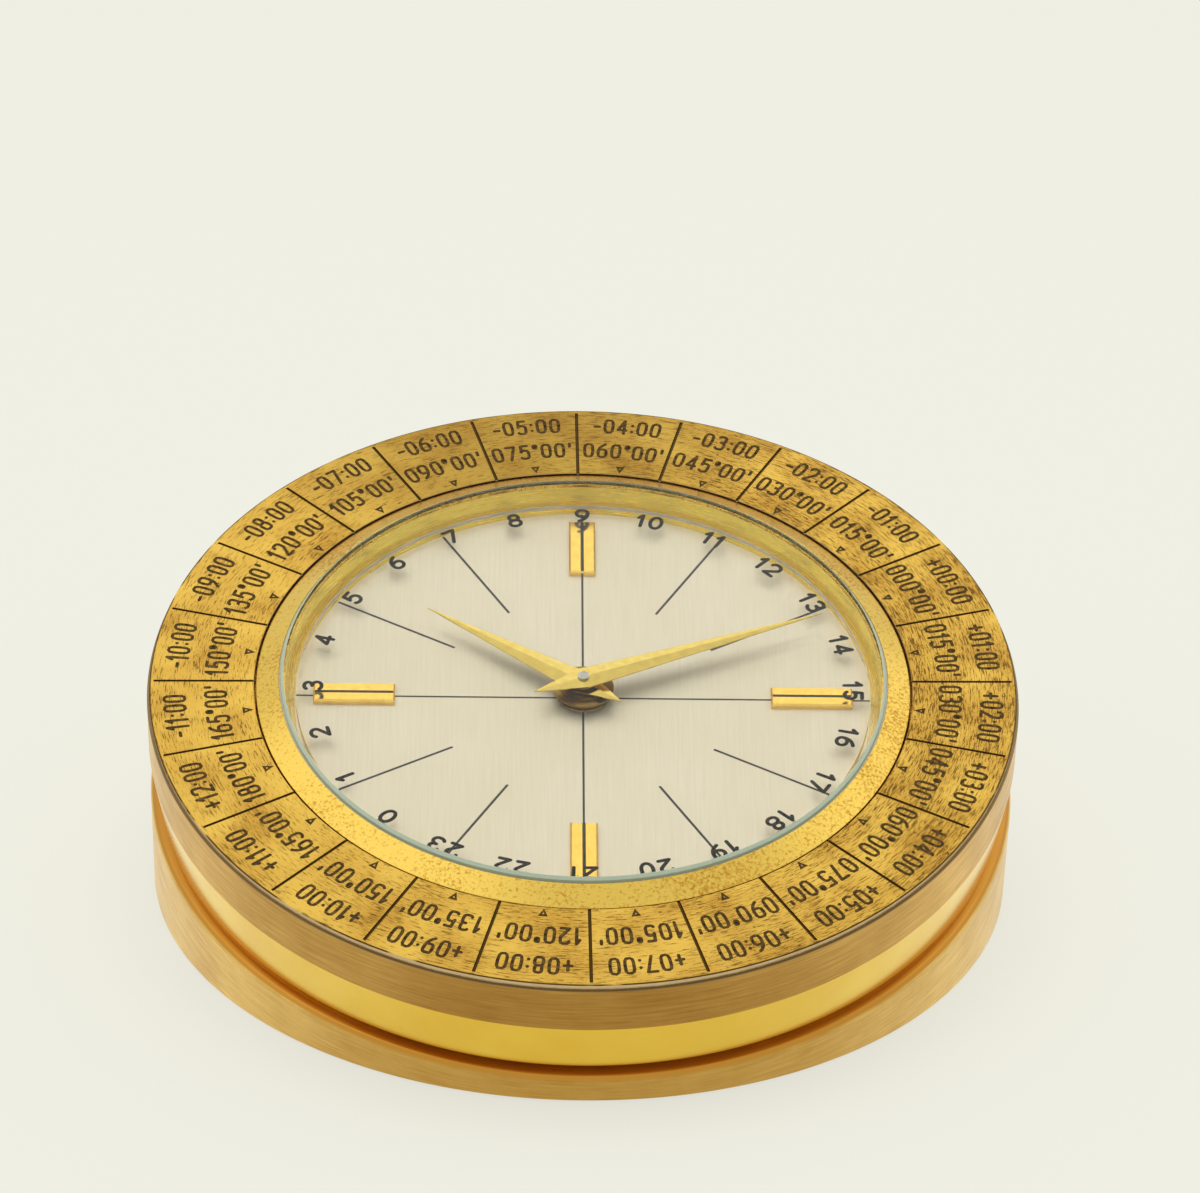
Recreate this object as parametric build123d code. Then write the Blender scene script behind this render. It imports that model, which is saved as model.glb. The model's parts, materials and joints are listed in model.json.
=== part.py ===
from build123d import *
import math
import os

# World time clock: a brass drum cut slantwise underneath, so that its face leans towards the
# reader. A ring of world zones turns round the glazed dial by hand. Under the glass a clear
# disc with the day's hours creeps once round a day, the other way from the two hands.
#
# Everything is modelled along the arbor axis first: Z comes up out of the dial, zero is the
# face of the zone plate, and Y points to twelve. The finished pieces are then leaned back
# onto the table. Millimetres and degrees.

# The drum and how it stands
lean = 12.6
rim_lift = 0.3
drum_edge = 0.6
ledge_z = -15.2
ledge_drop = 1.0
ledge_depth = 2.6
deck_t = 3.0
wall_t = 6.0
neck_t = 6.0
seat_w = 4.0
seat_t = 2.0
relief_t = 4.0
overrun = 30.0

# The zone ring and its engraved plate
ring_gap = 0.3
ring_fit = 0.05
ring_wall_t = 6.0
plate_t = 0.8
plate_edge = 0.3
plate_over = 0.05
web_t = 1.8
band_h = 7.15
taper_depth = 1.15
ring_foot_h = 0.5
groove_depth = 2.7
cell_count = 24
cell_turn = 0.75
cell_line_w = 0.42
cell_line_depth = 0.16
cell_line_margin = 0.8
spring_z = -9.5
spring_t = 0.8
spring_depth = 0.8
spring_play = 0.15
spring_slit = 18.0

# The bezel, the crystal and the wall round the dial
bezel_w = 2.9
bezel_gap = 0.25
bezel_sink = 0.2
bezel_rise = 1.25
bezel_ledge_t = 0.5
flange_set = 0.4
crystal_seat_w = 0.55
crystal_t = 1.1
crystal_proud = 0.05
crystal_bevel = 0.5
gasket_w = 0.25
gasket_h = 0.3
cone_flare = 1.15
cone_t = 1.8
cone_fit = 0.1
foot_w = 1.5
foot_t = 0.5
bezel_screw_count = 4
bezel_screw_r = 1.0
bezel_screw_head_r = 1.8
bezel_screw_len = 5.0
screw_slot_w = 0.5
screw_slot_depth = 0.4

# The dial
dial_t = 0.6
dial_margin = 2.0
dial_fit = 0.1
dial_hole_gap = 0.3
dial_foot_r = 0.7
dial_foot_inset = 6.9
dial_foot_turns = (0.0, 180.0)
dial_foot_fit = 0.1
spacer_t = 3.3
bar_len = 10.3
bar_w = 3.4
bar_h = 0.75
bar_edge = 0.2
bar_inset = 2.2
bar_count = 4

# The day disc
disc_r = 36.3
disc_t = 1.2
disc_gap = 1.05
disc_play = 0.15
hub_rim_w = 1.05
hub_t = 0.3
hub_neck_w = 0.1
hub_neck_h = 0.25
hub_wall = 0.7
hub_gap = 0.25
washer_w = 0.7
washer_t = 0.35

# The hands and the pipes that carry them
hour_short = 11.8
hour_tail = 5.8
hour_w = 4.0
minute_short = 2.9
minute_tail = 6.8
minute_w = 3.7
hand_edge = 0.14
hand_ridge = 0.4
hand_gap = 0.4
minute_hand_turn = 66.9
hours_shown_count = 10
pin_stand = 0.2
pin_gap = 0.25
arbor_r = 0.45
arbor_fit = 0.05
pin_wall = 0.3
hour_pipe_wall = 0.6
pipe_fit = 0.06
day_pipe_wall = 0.64

# Wheels between the dial and the front plate
work_module = 0.4
cannon_teeth = 12
minute_teeth = 36
minute_pinion_teeth = 10
hour_teeth = 40
idler_teeth = 36
idler_pinion_teeth = 18
day_teeth = 40
work_minute_module = work_module * (minute_pinion_teeth + hour_teeth) / (cannon_teeth + minute_teeth)
work_t = 0.55
work_gap = 0.3
work_head = 0.5
work_foot = 0.4
stud_r = 0.5
stud_fit = 0.05
stud_head_r = 0.9
work_turn = 205.0

# Plates of the movement
plate_thick = 1.5
train_room = 10.5
pillar_r = 2.0
pillar_edge = 3.0
pillar_clear = 3.9
pillar_turns = (20.0, 160.0, 230.0, 310.0)
plate_screw_r = 0.9
plate_screw_head_r = 1.7
plate_screw_head_t = 0.7
plate_screw_len = 4.0

# Teeth, as shares of the module or of the pitch
tip_share = 1.0
leaf_tip_share = 0.9
root_share = 1.3
tooth_tip_share = 0.22
tooth_root_share = 0.66
leaf_tip_width_share = 0.2
leaf_root_width_share = 0.6

# The going train
barrel_teeth = 72
barrel_module = 0.35
intermediate_leaves = 12
intermediate_teeth = 60
intermediate_module = 0.3
centre_leaves = 12
centre_teeth = 64
centre_module = 0.3
third_leaves = 8
third_teeth = 60
third_module = 0.25
fourth_leaves = 8
fourth_teeth = 60
fourth_module = 0.25
escape_leaves = 6
escape_teeth = 15
escape_r = 4.0
escape_tooth_h = 0.9
train_t = 0.6
train_gap = 0.4
train_head = 0.5
leaf_over = 0.25
train_arbor_r = 0.5
pivot_r = 0.25
pivot_fit = 0.05
pivot_len = 1.0
end_shake = 0.1
barrel_turn = 90.0
barrel_clear = 1.9
third_turn = 200.0
fourth_turn = -50.0
escape_turn = -10.0
spoke_count = 5
spoke_w = 1.0
rim_w = 1.3
boss_r = 1.9

# The barrel and its winding parts
barrel_gap = 1.0
barrel_toe = 1.0
barrel_wall = 0.8
barrel_rim_t = 0.8
barrel_arbor_r = 2.0
barrel_pivot_step = 0.5
spring_turns = 6
spring_eye = 1.6
spring_room = 0.4
spring_strip_t = 0.35
spring_steps = 14
ratchet_teeth = 16
ratchet_r = 4.6
ratchet_tooth_h = 0.7
ratchet_t = 0.8
click_arm = 4.4
click_r = 1.0
click_tip = 0.5
click_play = 0.06
click_turn = 160.0

# The escapement
lever_t = 0.5
lever_boss_r = 0.55
lever_arm_w = 0.6
pallet_turn = 30.0
pallet_w = 0.4
pallet_len = 1.1
pallet_play = 0.35
fork_play = 0.55
fork_w = 1.5
fork_slot_w = 0.5
fork_slot_len = 0.8
staff_reach = 7.0
lever_turn = 20.0
balance_play = 0.5
balance_rim_w = 0.8
balance_t = 0.8
balance_arm_w = 0.9
balance_gap = 0.9
roller_r = 1.3
roller_t = 0.35
jewel_r = 0.18
jewel_ring_r = 0.95
jewel_len = 0.3
hair_turns = 4
hair_inner_r = 1.0
hair_outer_r = 3.4
hair_w = 0.12
hair_t = 0.35
hair_steps = 14
hair_stud_w = 0.7

# The underside
base_lift = 0.7
base_t = 1.4
base_fit = 0.2
rebate_wall_t = 3.0
foot_pad_r = 4.5
foot_pad_seat = 0.6
foot_pad_inset = 11.0
foot_pad_turns = (90.0, 210.0, 330.0)
base_screw_inset = 4.6
base_screw_r = 0.8
base_screw_head_r = 1.3
base_screw_len = 5.0
base_screw_turns = (0.0, 180.0, 55.0, 125.0)
well_t = 0.7
key_room = 6.0
knob_room = 6.9
well_gap = 0.4
well_fit = 0.1
well_flange_w = 2.6
well_flange_t = 0.8
well_hole_fit = 0.6
knob_r = 4.5
knob_h = 5.5
knob_neck_r = 1.4
knob_gap = 1.0
knob_recess = 2.1
knob_flutes = 18
knob_flute_depth = 0.35
key_stem_wall = 0.8
key_stem_len = 3.4
key_span = 8.0
key_lobe_r = 3.3
key_t = 1.6

# Pipes and the hub, outwards from the arbor
pin_r = arbor_r + pin_wall
hour_pipe_r = pin_r + arbor_fit + hour_pipe_wall
disc_pipe_r = hour_pipe_r + pipe_fit + day_pipe_wall
dial_hole_r = disc_pipe_r + dial_hole_gap
hub_tube_r = disc_pipe_r + hub_wall
hub_neck_r = hub_tube_r + hub_neck_w
hub_r = hub_tube_r + hub_rim_w
washer_r = hub_tube_r + washer_w

# Radii of the case, outwards from the day disc
cone_foot_r = disc_r + disc_play
cone_top_r = cone_foot_r + cone_flare
cone_out_r = cone_top_r + cone_t
foot_r = cone_out_r + foot_w
crystal_r = cone_top_r + crystal_seat_w
bezel_lip_r = crystal_r + gasket_w
bezel_r = bezel_lip_r + bezel_w
plate_bore_r = bezel_r + bezel_gap
web_bore_r = plate_bore_r + plate_over
dial_r = foot_r + dial_margin
neck_bore_r = dial_r + dial_fit
seat_bore_r = neck_bore_r - seat_w
neck_r = neck_bore_r + neck_t
relief_r = neck_r - relief_t
flange_r = neck_r - flange_set
bezel_screw_ring_r = neck_bore_r + neck_t / 2
case_r = neck_r + ring_wall_t
groove_r = case_r - groove_depth
taper_r = case_r - taper_depth
ledge_r = case_r - ledge_depth
rebate_r = case_r - rebate_wall_t
base_screw_ring_r = case_r - base_screw_inset
foot_pad_ring_r = rebate_r - foot_pad_inset

# What lies on the dial and stands under it
bar_inner_r = disc_r - bar_inset - bar_len
hour_len = disc_r - hour_short
minute_len = disc_r - minute_short
dial_foot_ring_r = foot_r - dial_foot_inset

# Wheels, the barrel and the escapement
escape_root_r = escape_r - escape_tooth_h
ratchet_root_r = ratchet_r - ratchet_tooth_h
barrel_shell_r = barrel_teeth * barrel_module / 2 - barrel_toe
barrel_axis_r = barrel_shell_r + boss_r + barrel_clear
barrel_pivot_r = barrel_arbor_r - barrel_pivot_step
spring_inner_r = barrel_arbor_r + spring_eye
spring_outer_r = barrel_shell_r - barrel_wall - spring_room
lever_reach = escape_r / math.cos(math.radians(pallet_turn))
fork_len = staff_reach - jewel_ring_r - fork_play
balance_r = staff_reach - train_arbor_r - balance_play

# The well takes in the key as it turns, and the knob, with room for fingers. The pillars and
# their screws stand outside it.
key_stem_r = barrel_pivot_r + key_stem_wall
well_far_y = barrel_axis_r + key_span + key_room
well_near_y = knob_r + knob_room
well_r = (well_far_y + well_near_y) / 2
well_centre_y = (well_far_y - well_near_y) / 2
pillar_ring_r = well_r + plate_screw_head_r + pillar_clear
back_plate_r = pillar_ring_r + pillar_edge

# Heights along the arbor axis, from the stack of pieces
crystal_top = bezel_rise + crystal_proud + crystal_bevel
crystal_under = crystal_top - crystal_t
pin_top = crystal_under - pin_gap
minute_z = pin_top - pin_stand - hand_ridge
hour_z = minute_z - hand_gap - hand_ridge
dial_top = hour_z - hub_gap - hub_neck_h - hub_t - disc_t - disc_gap
dial_under = dial_top - dial_t
disc_under = dial_top + disc_gap
disc_top = disc_under + disc_t
hub_top = disc_top + hub_t + hub_neck_h
web_under = -plate_t - web_t
flange_top = web_under - ring_gap
level_pitch = work_t + work_gap
day_z = dial_under - work_head - work_t
idler_z = day_z - level_pitch
hour_wheel_z = idler_z - level_pitch
minute_wheel_z = hour_wheel_z - level_pitch
front_top = minute_wheel_z - work_foot
front_under = front_top - plate_thick
back_top = front_under - train_room
back_under = back_top - plate_thick
train_pitch = train_t + train_gap
intermediate_z = front_under - train_head - train_t
centre_z = intermediate_z - train_pitch
third_z = centre_z - train_pitch
fourth_z = third_z - train_pitch
escape_z = fourth_z - train_pitch
barrel_top = centre_z - train_gap
barrel_under = back_top + barrel_gap
well_top = back_under - well_gap
ring_under = ledge_z + ring_gap
taper_z = ring_under + ring_foot_h
shoulder_z = ledge_z - ledge_drop
knob_under = well_top - well_t - knob_gap - knob_h
axis_depth = knob_recess - knob_under
foot_pad_t = base_lift + foot_pad_seat

# Where the pieces meet the table
slope = math.radians(lean)
axis_height = axis_depth * math.cos(slope)
front_reach = case_r * math.cos(slope) - plate_t * math.sin(slope)
rim_depth = axis_depth + case_r * math.tan(slope) - rim_lift / math.cos(slope)
rear_reach = case_r * math.cos(slope) + rim_depth * math.sin(slope)
axis_y = (front_reach - rear_reach) / 2
clock_seat = Pos(0, axis_y, axis_height) * Rot(lean, 0, 0)
table_seat = Pos(0, axis_y + axis_depth * math.sin(slope), 0)


def turned(*outline):
    """A body of revolution about the arbor axis, from corners given as (radius, height)."""
    return revolve(Plane.XZ * Polygon(*outline, align=None), Axis.Z)


def washer(outer, low, high, bore=0):
    """A plain ring or disc between two heights."""
    return turned((bore, low), (outer, low), (outer, high), (bore, high))


def polar(radius, turn):
    """A point at a distance and an angle, counterclockwise from the X axis."""
    return radius * math.cos(math.radians(turn)), radius * math.sin(math.radians(turn))


def beside(centre, radius, turn):
    """The point at a distance and an angle from another point."""
    x, y = polar(radius, turn)
    return centre[0] + x, centre[1] + y


def apart(a, b):
    """The distance between two points."""
    return math.dist(a, b)


def bearing(a, b):
    """The angle of the line from one point to another."""
    return math.degrees(math.atan2(b[1] - a[1], b[0] - a[0]))


def meeting(a, a_reach, b, b_reach, side):
    """The point at given distances from two others, to the left of a to b for side 1."""
    span = apart(a, b)
    cosine = (a_reach**2 + span**2 - b_reach**2) / (2 * a_reach * span)
    return beside(a, a_reach, bearing(a, b) + side * math.degrees(math.acos(cosine)))


def below_plane(height):
    """Everything under the plane at this height over the table, along the arbor axis's frame."""
    block = Box(4 * case_r, 4 * case_r, 4 * case_r, align=(Align.CENTER, Align.CENTER, Align.MAX))
    return Pos(0, 0, -axis_depth) * Rot(-lean, 0, 0) * Pos(0, 0, height) * block


def slab(low, high):
    """The layer between two heights over the table, in the arbor axis's frame."""
    return below_plane(high) - below_plane(low)


# Teeth are straight-sided: a flank runs from a wide root to a narrow tip.


def toothed(count, module, low, high, turn=0.0, leaves=False):
    """A toothed blank of straight-sided teeth, the first one centred on the angle turn."""
    radius = count * module / 2
    tip = radius + module * (leaf_tip_share if leaves else tip_share)
    root = radius - module * root_share
    pitch = 360 / count
    tip_half = pitch / 2 * (leaf_tip_width_share if leaves else tooth_tip_share)
    root_half = pitch / 2 * (leaf_root_width_share if leaves else tooth_root_share)
    corners = []
    for tooth in range(count):
        middle = turn + tooth * pitch
        corners.append(polar(root, middle - root_half))
        corners.append(polar(tip, middle - tip_half))
        corners.append(polar(tip, middle + tip_half))
        corners.append(polar(root, middle + root_half))
    return Pos(0, 0, low) * extrude(Polygon(*corners, align=None), amount=high - low)


def saw_toothed(count, tip, root, low, high, turn=0.0, tip_half=1.2, heel=11.0):
    """A wheel of hooked teeth, whose tips are centred on the angle turn."""
    corners = []
    for tooth in range(count):
        middle = turn + tooth * 360 / count
        corners.append(polar(root, middle - heel))
        corners.append(polar(tip, middle - tip_half))
        corners.append(polar(tip, middle + tip_half))
        corners.append(polar(root, middle + tip_half * 2))
    return Pos(0, 0, low) * extrude(Polygon(*corners, align=None), amount=high - low)


def crossings(outer, low, high):
    """The windows between the spokes of a wheel."""
    ring = washer(outer, low - overrun, high + overrun, boss_r)
    bar = Box(outer * 2, spoke_w, high - low + overrun * 4, align=(Align.MIN, Align.CENTER, Align.CENTER))
    for turn in even_turns(spoke_count):
        ring -= Rot(0, 0, turn) * bar
    return ring


def pitch_r(count, module):
    """The pitch circle's radius."""
    return count * module / 2


def tooth_facing(count, turn, line, mate_count):
    """The first tooth's angle on a mate that meshes along a line, given this wheel's own."""
    shift = count * (turn - line) / 360
    return line + 180 - 360 / mate_count * (shift + 1 / 2)


# Axes of the wheels under the dial. The idler turns the day disc the other way.
origin_xy = (0.0, 0.0)
minute_axis = polar(pitch_r(cannon_teeth + minute_teeth, work_minute_module), work_turn)
idler_reach = pitch_r(idler_pinion_teeth + day_teeth, work_module)
idler_axis = meeting(
    origin_xy, idler_reach, minute_axis, pitch_r(minute_pinion_teeth + idler_teeth, work_module), -1
)

# Axes of the going train, from the barrel to the balance
barrel_axis = polar(barrel_axis_r, barrel_turn)
intermediate_axis = meeting(
    origin_xy,
    pitch_r(intermediate_teeth + centre_leaves, intermediate_module),
    barrel_axis,
    pitch_r(barrel_teeth + intermediate_leaves, barrel_module),
    -1,
)
third_axis = polar(pitch_r(centre_teeth + third_leaves, centre_module), third_turn)
fourth_axis = beside(third_axis, pitch_r(third_teeth + fourth_leaves, third_module), fourth_turn)
escape_axis = beside(fourth_axis, pitch_r(fourth_teeth + escape_leaves, fourth_module), escape_turn)
lever_axis = beside(escape_axis, lever_reach, lever_turn)
balance_axis = beside(lever_axis, staff_reach, lever_turn)
arbor_axes = (intermediate_axis, third_axis, fourth_axis, escape_axis, lever_axis, balance_axis)
click_axis = beside(barrel_axis, ratchet_r + click_arm, click_turn)


def at(point, shape):
    """A shape moved from the arbor axis to another axis beside it."""
    return Pos(point[0], point[1], 0) * shape


def ring_of(shape, radius, turns):
    """Copies of a shape round the arbor axis, as one group."""
    return [Rot(0, 0, turn) * Pos(radius, 0, 0) * shape for turn in turns]


def even_turns(count, first=0.0):
    """Angles that divide the circle evenly."""
    return [first + 360 * step / count for step in range(count)]


# The case


def wedge_drum():
    """The cast and turned drum: a wall, a deck, and the neck that the zone ring turns on."""
    bottom = -axis_depth - overrun
    top = dial_top
    inner_r = case_r - wall_t
    body = turned(
        (inner_r, bottom),
        (case_r, bottom),
        (case_r, shoulder_z),
        (case_r - drum_edge, shoulder_z + drum_edge),
        (ledge_r, ledge_z),
        (neck_r, ledge_z),
        (neck_r, spring_z - spring_t / 2 - spring_play),
        (neck_r - spring_depth - spring_play, spring_z - spring_t / 2 - spring_play),
        (neck_r - spring_depth - spring_play, spring_z + spring_t / 2 + spring_play),
        (neck_r, spring_z + spring_t / 2 + spring_play),
        (neck_r, top),
        (neck_bore_r, top),
        (neck_bore_r, front_under),
        (seat_bore_r, front_under),
        (seat_bore_r, front_under - seat_t),
        (relief_r, front_under - seat_t * 2),
        (relief_r, ledge_z - deck_t),
        (inner_r, ledge_z - deck_t),
    )
    body -= below_plane(rim_lift)
    body -= washer(rebate_r, bottom - overrun, front_under - seat_t) & below_plane(base_lift + base_t)
    for screw in ring_of(bezel_screw_tool(0), bezel_screw_ring_r, even_turns(bezel_screw_count, 45)):
        body -= screw
    for screw in round_the_base(base_screw_tool(0)):
        body -= screw
    return body


def bezel_screw_tool(fit):
    """A countersunk screw standing in the bezel's flange, or with a fit the hole for it."""
    low = dial_top - bezel_screw_len
    neck = flange_top - (bezel_screw_head_r - bezel_screw_r)
    return turned(
        (0, low),
        (bezel_screw_r + fit, low),
        (bezel_screw_r + fit, neck),
        (bezel_screw_head_r + fit, flange_top),
        (0, flange_top),
    )


def slotted(screw, head_z):
    """A screw with a driver's slot cut across the face of its head."""
    return screw - Pos(0, 0, head_z) * Box(overrun, screw_slot_w, 2 * screw_slot_depth)


def bezel_screws():
    """Four screws that hold the bezel, and with it the whole stack, on the neck."""
    screw = slotted(bezel_screw_tool(0), flange_top)
    return ring_of(screw, bezel_screw_ring_r, even_turns(bezel_screw_count, 45))


def glass_bezel():
    """The bezel: a coned ring with a ledge for the crystal and a flange under the zone ring."""
    ledge_under = crystal_under - bezel_ledge_t
    body = turned(
        (cone_top_r, ledge_under),
        (cone_top_r, crystal_under),
        (bezel_lip_r, crystal_under),
        (bezel_lip_r, bezel_rise),
        (bezel_r, -bezel_sink),
        (bezel_r, flange_top),
        (flange_r, flange_top),
        (flange_r, dial_top),
        (foot_r + cone_fit, dial_top),
        (foot_r + cone_fit, dial_top + foot_t),
        (cone_out_r + cone_fit, dial_top + foot_t),
        (cone_out_r + cone_fit, ledge_under),
    )
    for screw in ring_of(bezel_screw_tool(0), bezel_screw_ring_r, even_turns(bezel_screw_count, 45)):
        body -= screw
    return body


def crystal():
    """The flat glass, with a bevelled edge that stands proud of the bezel."""
    edge_top = crystal_top - crystal_bevel
    return turned(
        (0, crystal_under),
        (crystal_r, crystal_under),
        (crystal_r, edge_top),
        (crystal_r - crystal_bevel, crystal_top),
        (0, crystal_top),
    )


def crystal_gasket():
    """A thin ring of nylon between the crystal's edge and the bezel's lip."""
    return washer(bezel_lip_r, crystal_under, crystal_under + gasket_h, crystal_r)


def dial_wall():
    """The polished wall between crystal and dial, a cone inside and a foot on the dial's rim."""
    return turned(
        (cone_foot_r, dial_top),
        (foot_r, dial_top),
        (foot_r, dial_top + foot_t),
        (cone_out_r, dial_top + foot_t),
        (cone_out_r, crystal_under - bezel_ledge_t),
        (cone_top_r, crystal_under - bezel_ledge_t),
    )


def zone_ring():
    """The ring that is turned by hand: a web over the bezel's flange and a deep outer wall."""
    bore_r = neck_r + ring_fit
    spring_low = spring_z - spring_t / 2 - spring_play
    spring_high = spring_z + spring_t / 2 + spring_play
    return turned(
        (web_bore_r, web_under),
        (bore_r, web_under),
        (bore_r, spring_high),
        (bore_r + spring_depth, spring_high),
        (bore_r + spring_depth, spring_low),
        (bore_r, spring_low),
        (bore_r, ring_under),
        (groove_r, ring_under),
        (taper_r, taper_z),
        (case_r, -band_h),
        (case_r, -plate_t),
        (web_bore_r, -plate_t),
    )


def zone_plate():
    """The flat plate on top of the ring, with the lines engraved between its cells."""
    body = washer(case_r - plate_edge, -plate_t, 0, plate_bore_r)
    reach = case_r - cell_line_margin
    line = Box(reach, cell_line_w, overrun, align=(Align.MIN, Align.CENTER, Align.MIN))
    for turn in even_turns(cell_count, 90 + cell_turn):
        body -= Rot(0, 0, turn) * Pos(0, 0, -cell_line_depth) * line
    return body


def ring_spring():
    """A split flat spring in the neck's groove, which keeps the ring down and stiff to turn."""
    low, high = spring_z - spring_t / 2, spring_z + spring_t / 2
    body = washer(neck_r + spring_depth / 2, low, high, neck_r - spring_depth / 2)
    slit = Box(case_r, spring_slit, overrun, align=(Align.MIN, Align.CENTER, Align.CENTER))
    return body - Pos(0, 0, spring_z) * slit


# The dial and the day disc


def dial_plate():
    """The dial, with two feet that stand in the movement's front plate."""
    body = washer(dial_r, dial_under, dial_top, dial_hole_r)
    foot = washer(dial_foot_r, front_under, dial_under)
    for placed in ring_of(foot, dial_foot_ring_r, dial_foot_turns):
        body += placed
    return body


def dial_spacer():
    """The ring that holds the dial off the front plate."""
    return washer(dial_r, front_top, dial_under, dial_r - spacer_t)


def hour_bars():
    """Four applied bars, bevelled round the top."""
    corner = (Align.MIN, Align.CENTER, Align.MIN)
    bar = Box(bar_len, bar_w, bar_h, align=corner)
    bar = chamfer(bar.faces().sort_by(Axis.Z)[-1].edges(), bar_edge)
    return ring_of(Pos(0, 0, dial_top) * bar, bar_inner_r, even_turns(bar_count))


def day_disc():
    """The clear disc that carries the day's hours."""
    return washer(disc_r, disc_under, disc_top, hub_tube_r)


def disc_hub():
    """The brass hub through the disc, with its flange on top."""
    return turned(
        (disc_pipe_r, disc_under),
        (hub_tube_r, disc_under),
        (hub_tube_r, disc_top),
        (hub_r, disc_top),
        (hub_r, disc_top + hub_t),
        (hub_neck_r, disc_top + hub_t),
        (hub_neck_r, hub_top),
        (disc_pipe_r, hub_top),
    )


def hub_washer():
    """The ring under the disc that the hub is riveted to."""
    return washer(washer_r, disc_under - washer_t, disc_under, disc_pipe_r)


# Hands and the wheels under the dial


def hand(length, tail, width, pipe_r, low):
    """A dauphine hand: four planes rise from the edge to a point over its pipe."""
    rim = [(0, length), (-width / 2, 0), (0, -tail), (width / 2, 0)]
    plate = Pos(0, 0, low) * extrude(Polygon(*rim, align=None), amount=hand_edge)
    under = [Vector(x, y, low + hand_edge) for x, y in rim]
    peak = Vector(0, 0, low + hand_ridge)
    faces = [Face(Wire.make_polygon([under[i], under[(i + 1) % 4], peak])) for i in range(4)]
    faces.append(Face(Wire.make_polygon(under)))
    roof = Solid(Shell(faces))
    return plate + Part(roof.wrapped) - washer(pipe_r, low - overrun, low + overrun)


def hour_turn():
    """The hour hand's angle, clockwise from twelve."""
    return (hours_shown_count * 360 + minute_hand_turn) / 12


def hour_hand():
    """The short hand, tight on the hour pipe."""
    return Rot(0, 0, -hour_turn()) * hand(hour_len, hour_tail, hour_w, hour_pipe_r, hour_z)


def minute_hand():
    """The long hand, tight on the cannon pinion's pipe."""
    return Rot(0, 0, -minute_hand_turn) * hand(minute_len, minute_tail, minute_w, pin_r, minute_z)


def cannon_pinion():
    """A steel pinion whose pipe carries the minute hand and shows as the pin at the centre."""
    leaves = toothed(
        cannon_teeth, work_minute_module, minute_wheel_z, minute_wheel_z + work_t, cannon_tooth(), True
    )
    pipe = washer(pin_r, minute_wheel_z, pin_top)
    bore = washer(arbor_r, minute_wheel_z - overrun, cannon_bore_top())
    return leaves + pipe - bore


def cannon_tooth():
    """The angle of the cannon pinion's first leaf."""
    return work_turn


def cannon_bore_top():
    """How far up the arbor reaches inside the cannon pinion."""
    return dial_top


def centre_arbor():
    """The thin arbor through the movement, from the setting knob to the cannon pinion."""
    return washer(arbor_r, well_top - well_t - knob_gap - knob_h / 2, cannon_bore_top())


def clutch_spring():
    """The dished washer on the arbor that drives the hands and lets them slip when set."""
    top = centre_z - leaf_over - end_shake
    return turned(
        (arbor_r, top - train_t),
        (arbor_r * 2, top - train_t),
        (boss_r, top - train_t / 2),
        (boss_r, top),
        (arbor_r * 2, top - train_t / 2),
        (arbor_r, top - train_t / 2),
    )


def setting_knob():
    """The fluted knob under the clock that sets the hands."""
    top = well_top - well_t - knob_gap
    flute_r = knob_r - knob_flute_depth
    corners = []
    for step in range(knob_flutes):
        middle = 360 * step / knob_flutes
        corners.append(polar(knob_r, middle))
        corners.append(polar(flute_r, middle + 180 / knob_flutes))
    grip = Pos(0, 0, top - knob_h) * extrude(Polygon(*corners, align=None), amount=knob_h)
    neck = washer(knob_neck_r, top, back_under - end_shake)
    return grip + neck - washer(arbor_r, top - knob_h / 2, overrun)


def minute_wheel():
    """The wheel on a stud that the cannon pinion turns, with its long pinion."""
    line = bearing(origin_xy, minute_axis)
    teeth = tooth_facing(cannon_teeth, cannon_tooth(), line, minute_teeth)
    wheel = toothed(minute_teeth, work_minute_module, minute_wheel_z, minute_wheel_z + work_t, teeth)
    top = idler_z + work_t + work_gap / 2
    pinion = toothed(minute_pinion_teeth, work_module, minute_wheel_z + work_t, top, 0, True)
    bore = washer(stud_r + stud_fit, minute_wheel_z - overrun, top + overrun)
    return at(minute_axis, wheel + pinion - bore)


def hour_wheel():
    """The hour wheel, with the pipe that carries the hour hand."""
    line = bearing(minute_axis, origin_xy)
    teeth = tooth_facing(minute_pinion_teeth, 0, line, hour_teeth)
    wheel = toothed(hour_teeth, work_module, hour_wheel_z, hour_wheel_z + work_t, teeth)
    pipe = washer(hour_pipe_r, hour_wheel_z, hour_z + hand_ridge)
    bore = washer(pin_r + arbor_fit, hour_wheel_z - overrun, overrun)
    return wheel + pipe - bore


def reversing_idler():
    """The wheel and pinion on the second stud, which make the day disc turn backwards."""
    line = bearing(minute_axis, idler_axis)
    teeth = tooth_facing(minute_pinion_teeth, 0, line, idler_teeth)
    wheel = toothed(idler_teeth, work_module, idler_z, idler_z + work_t, teeth)
    top = day_z + work_t + work_gap / 2
    pinion = toothed(idler_pinion_teeth, work_module, idler_z + work_t, top, 0, True)
    bore = washer(stud_r + stud_fit, idler_z - overrun, top + overrun)
    return at(idler_axis, wheel + pinion - bore)


def day_wheel():
    """The wheel that turns once a day, with the pipe that carries the disc's hub."""
    line = bearing(idler_axis, origin_xy)
    teeth = tooth_facing(idler_pinion_teeth, 0, line, day_teeth)
    wheel = toothed(day_teeth, work_module, day_z, day_z + work_t, teeth)
    pipe = washer(disc_pipe_r, day_z, hub_top)
    bore = washer(hour_pipe_r + pipe_fit, day_z - overrun, overrun)
    return wheel + pipe - bore


# The movement's frame


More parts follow.
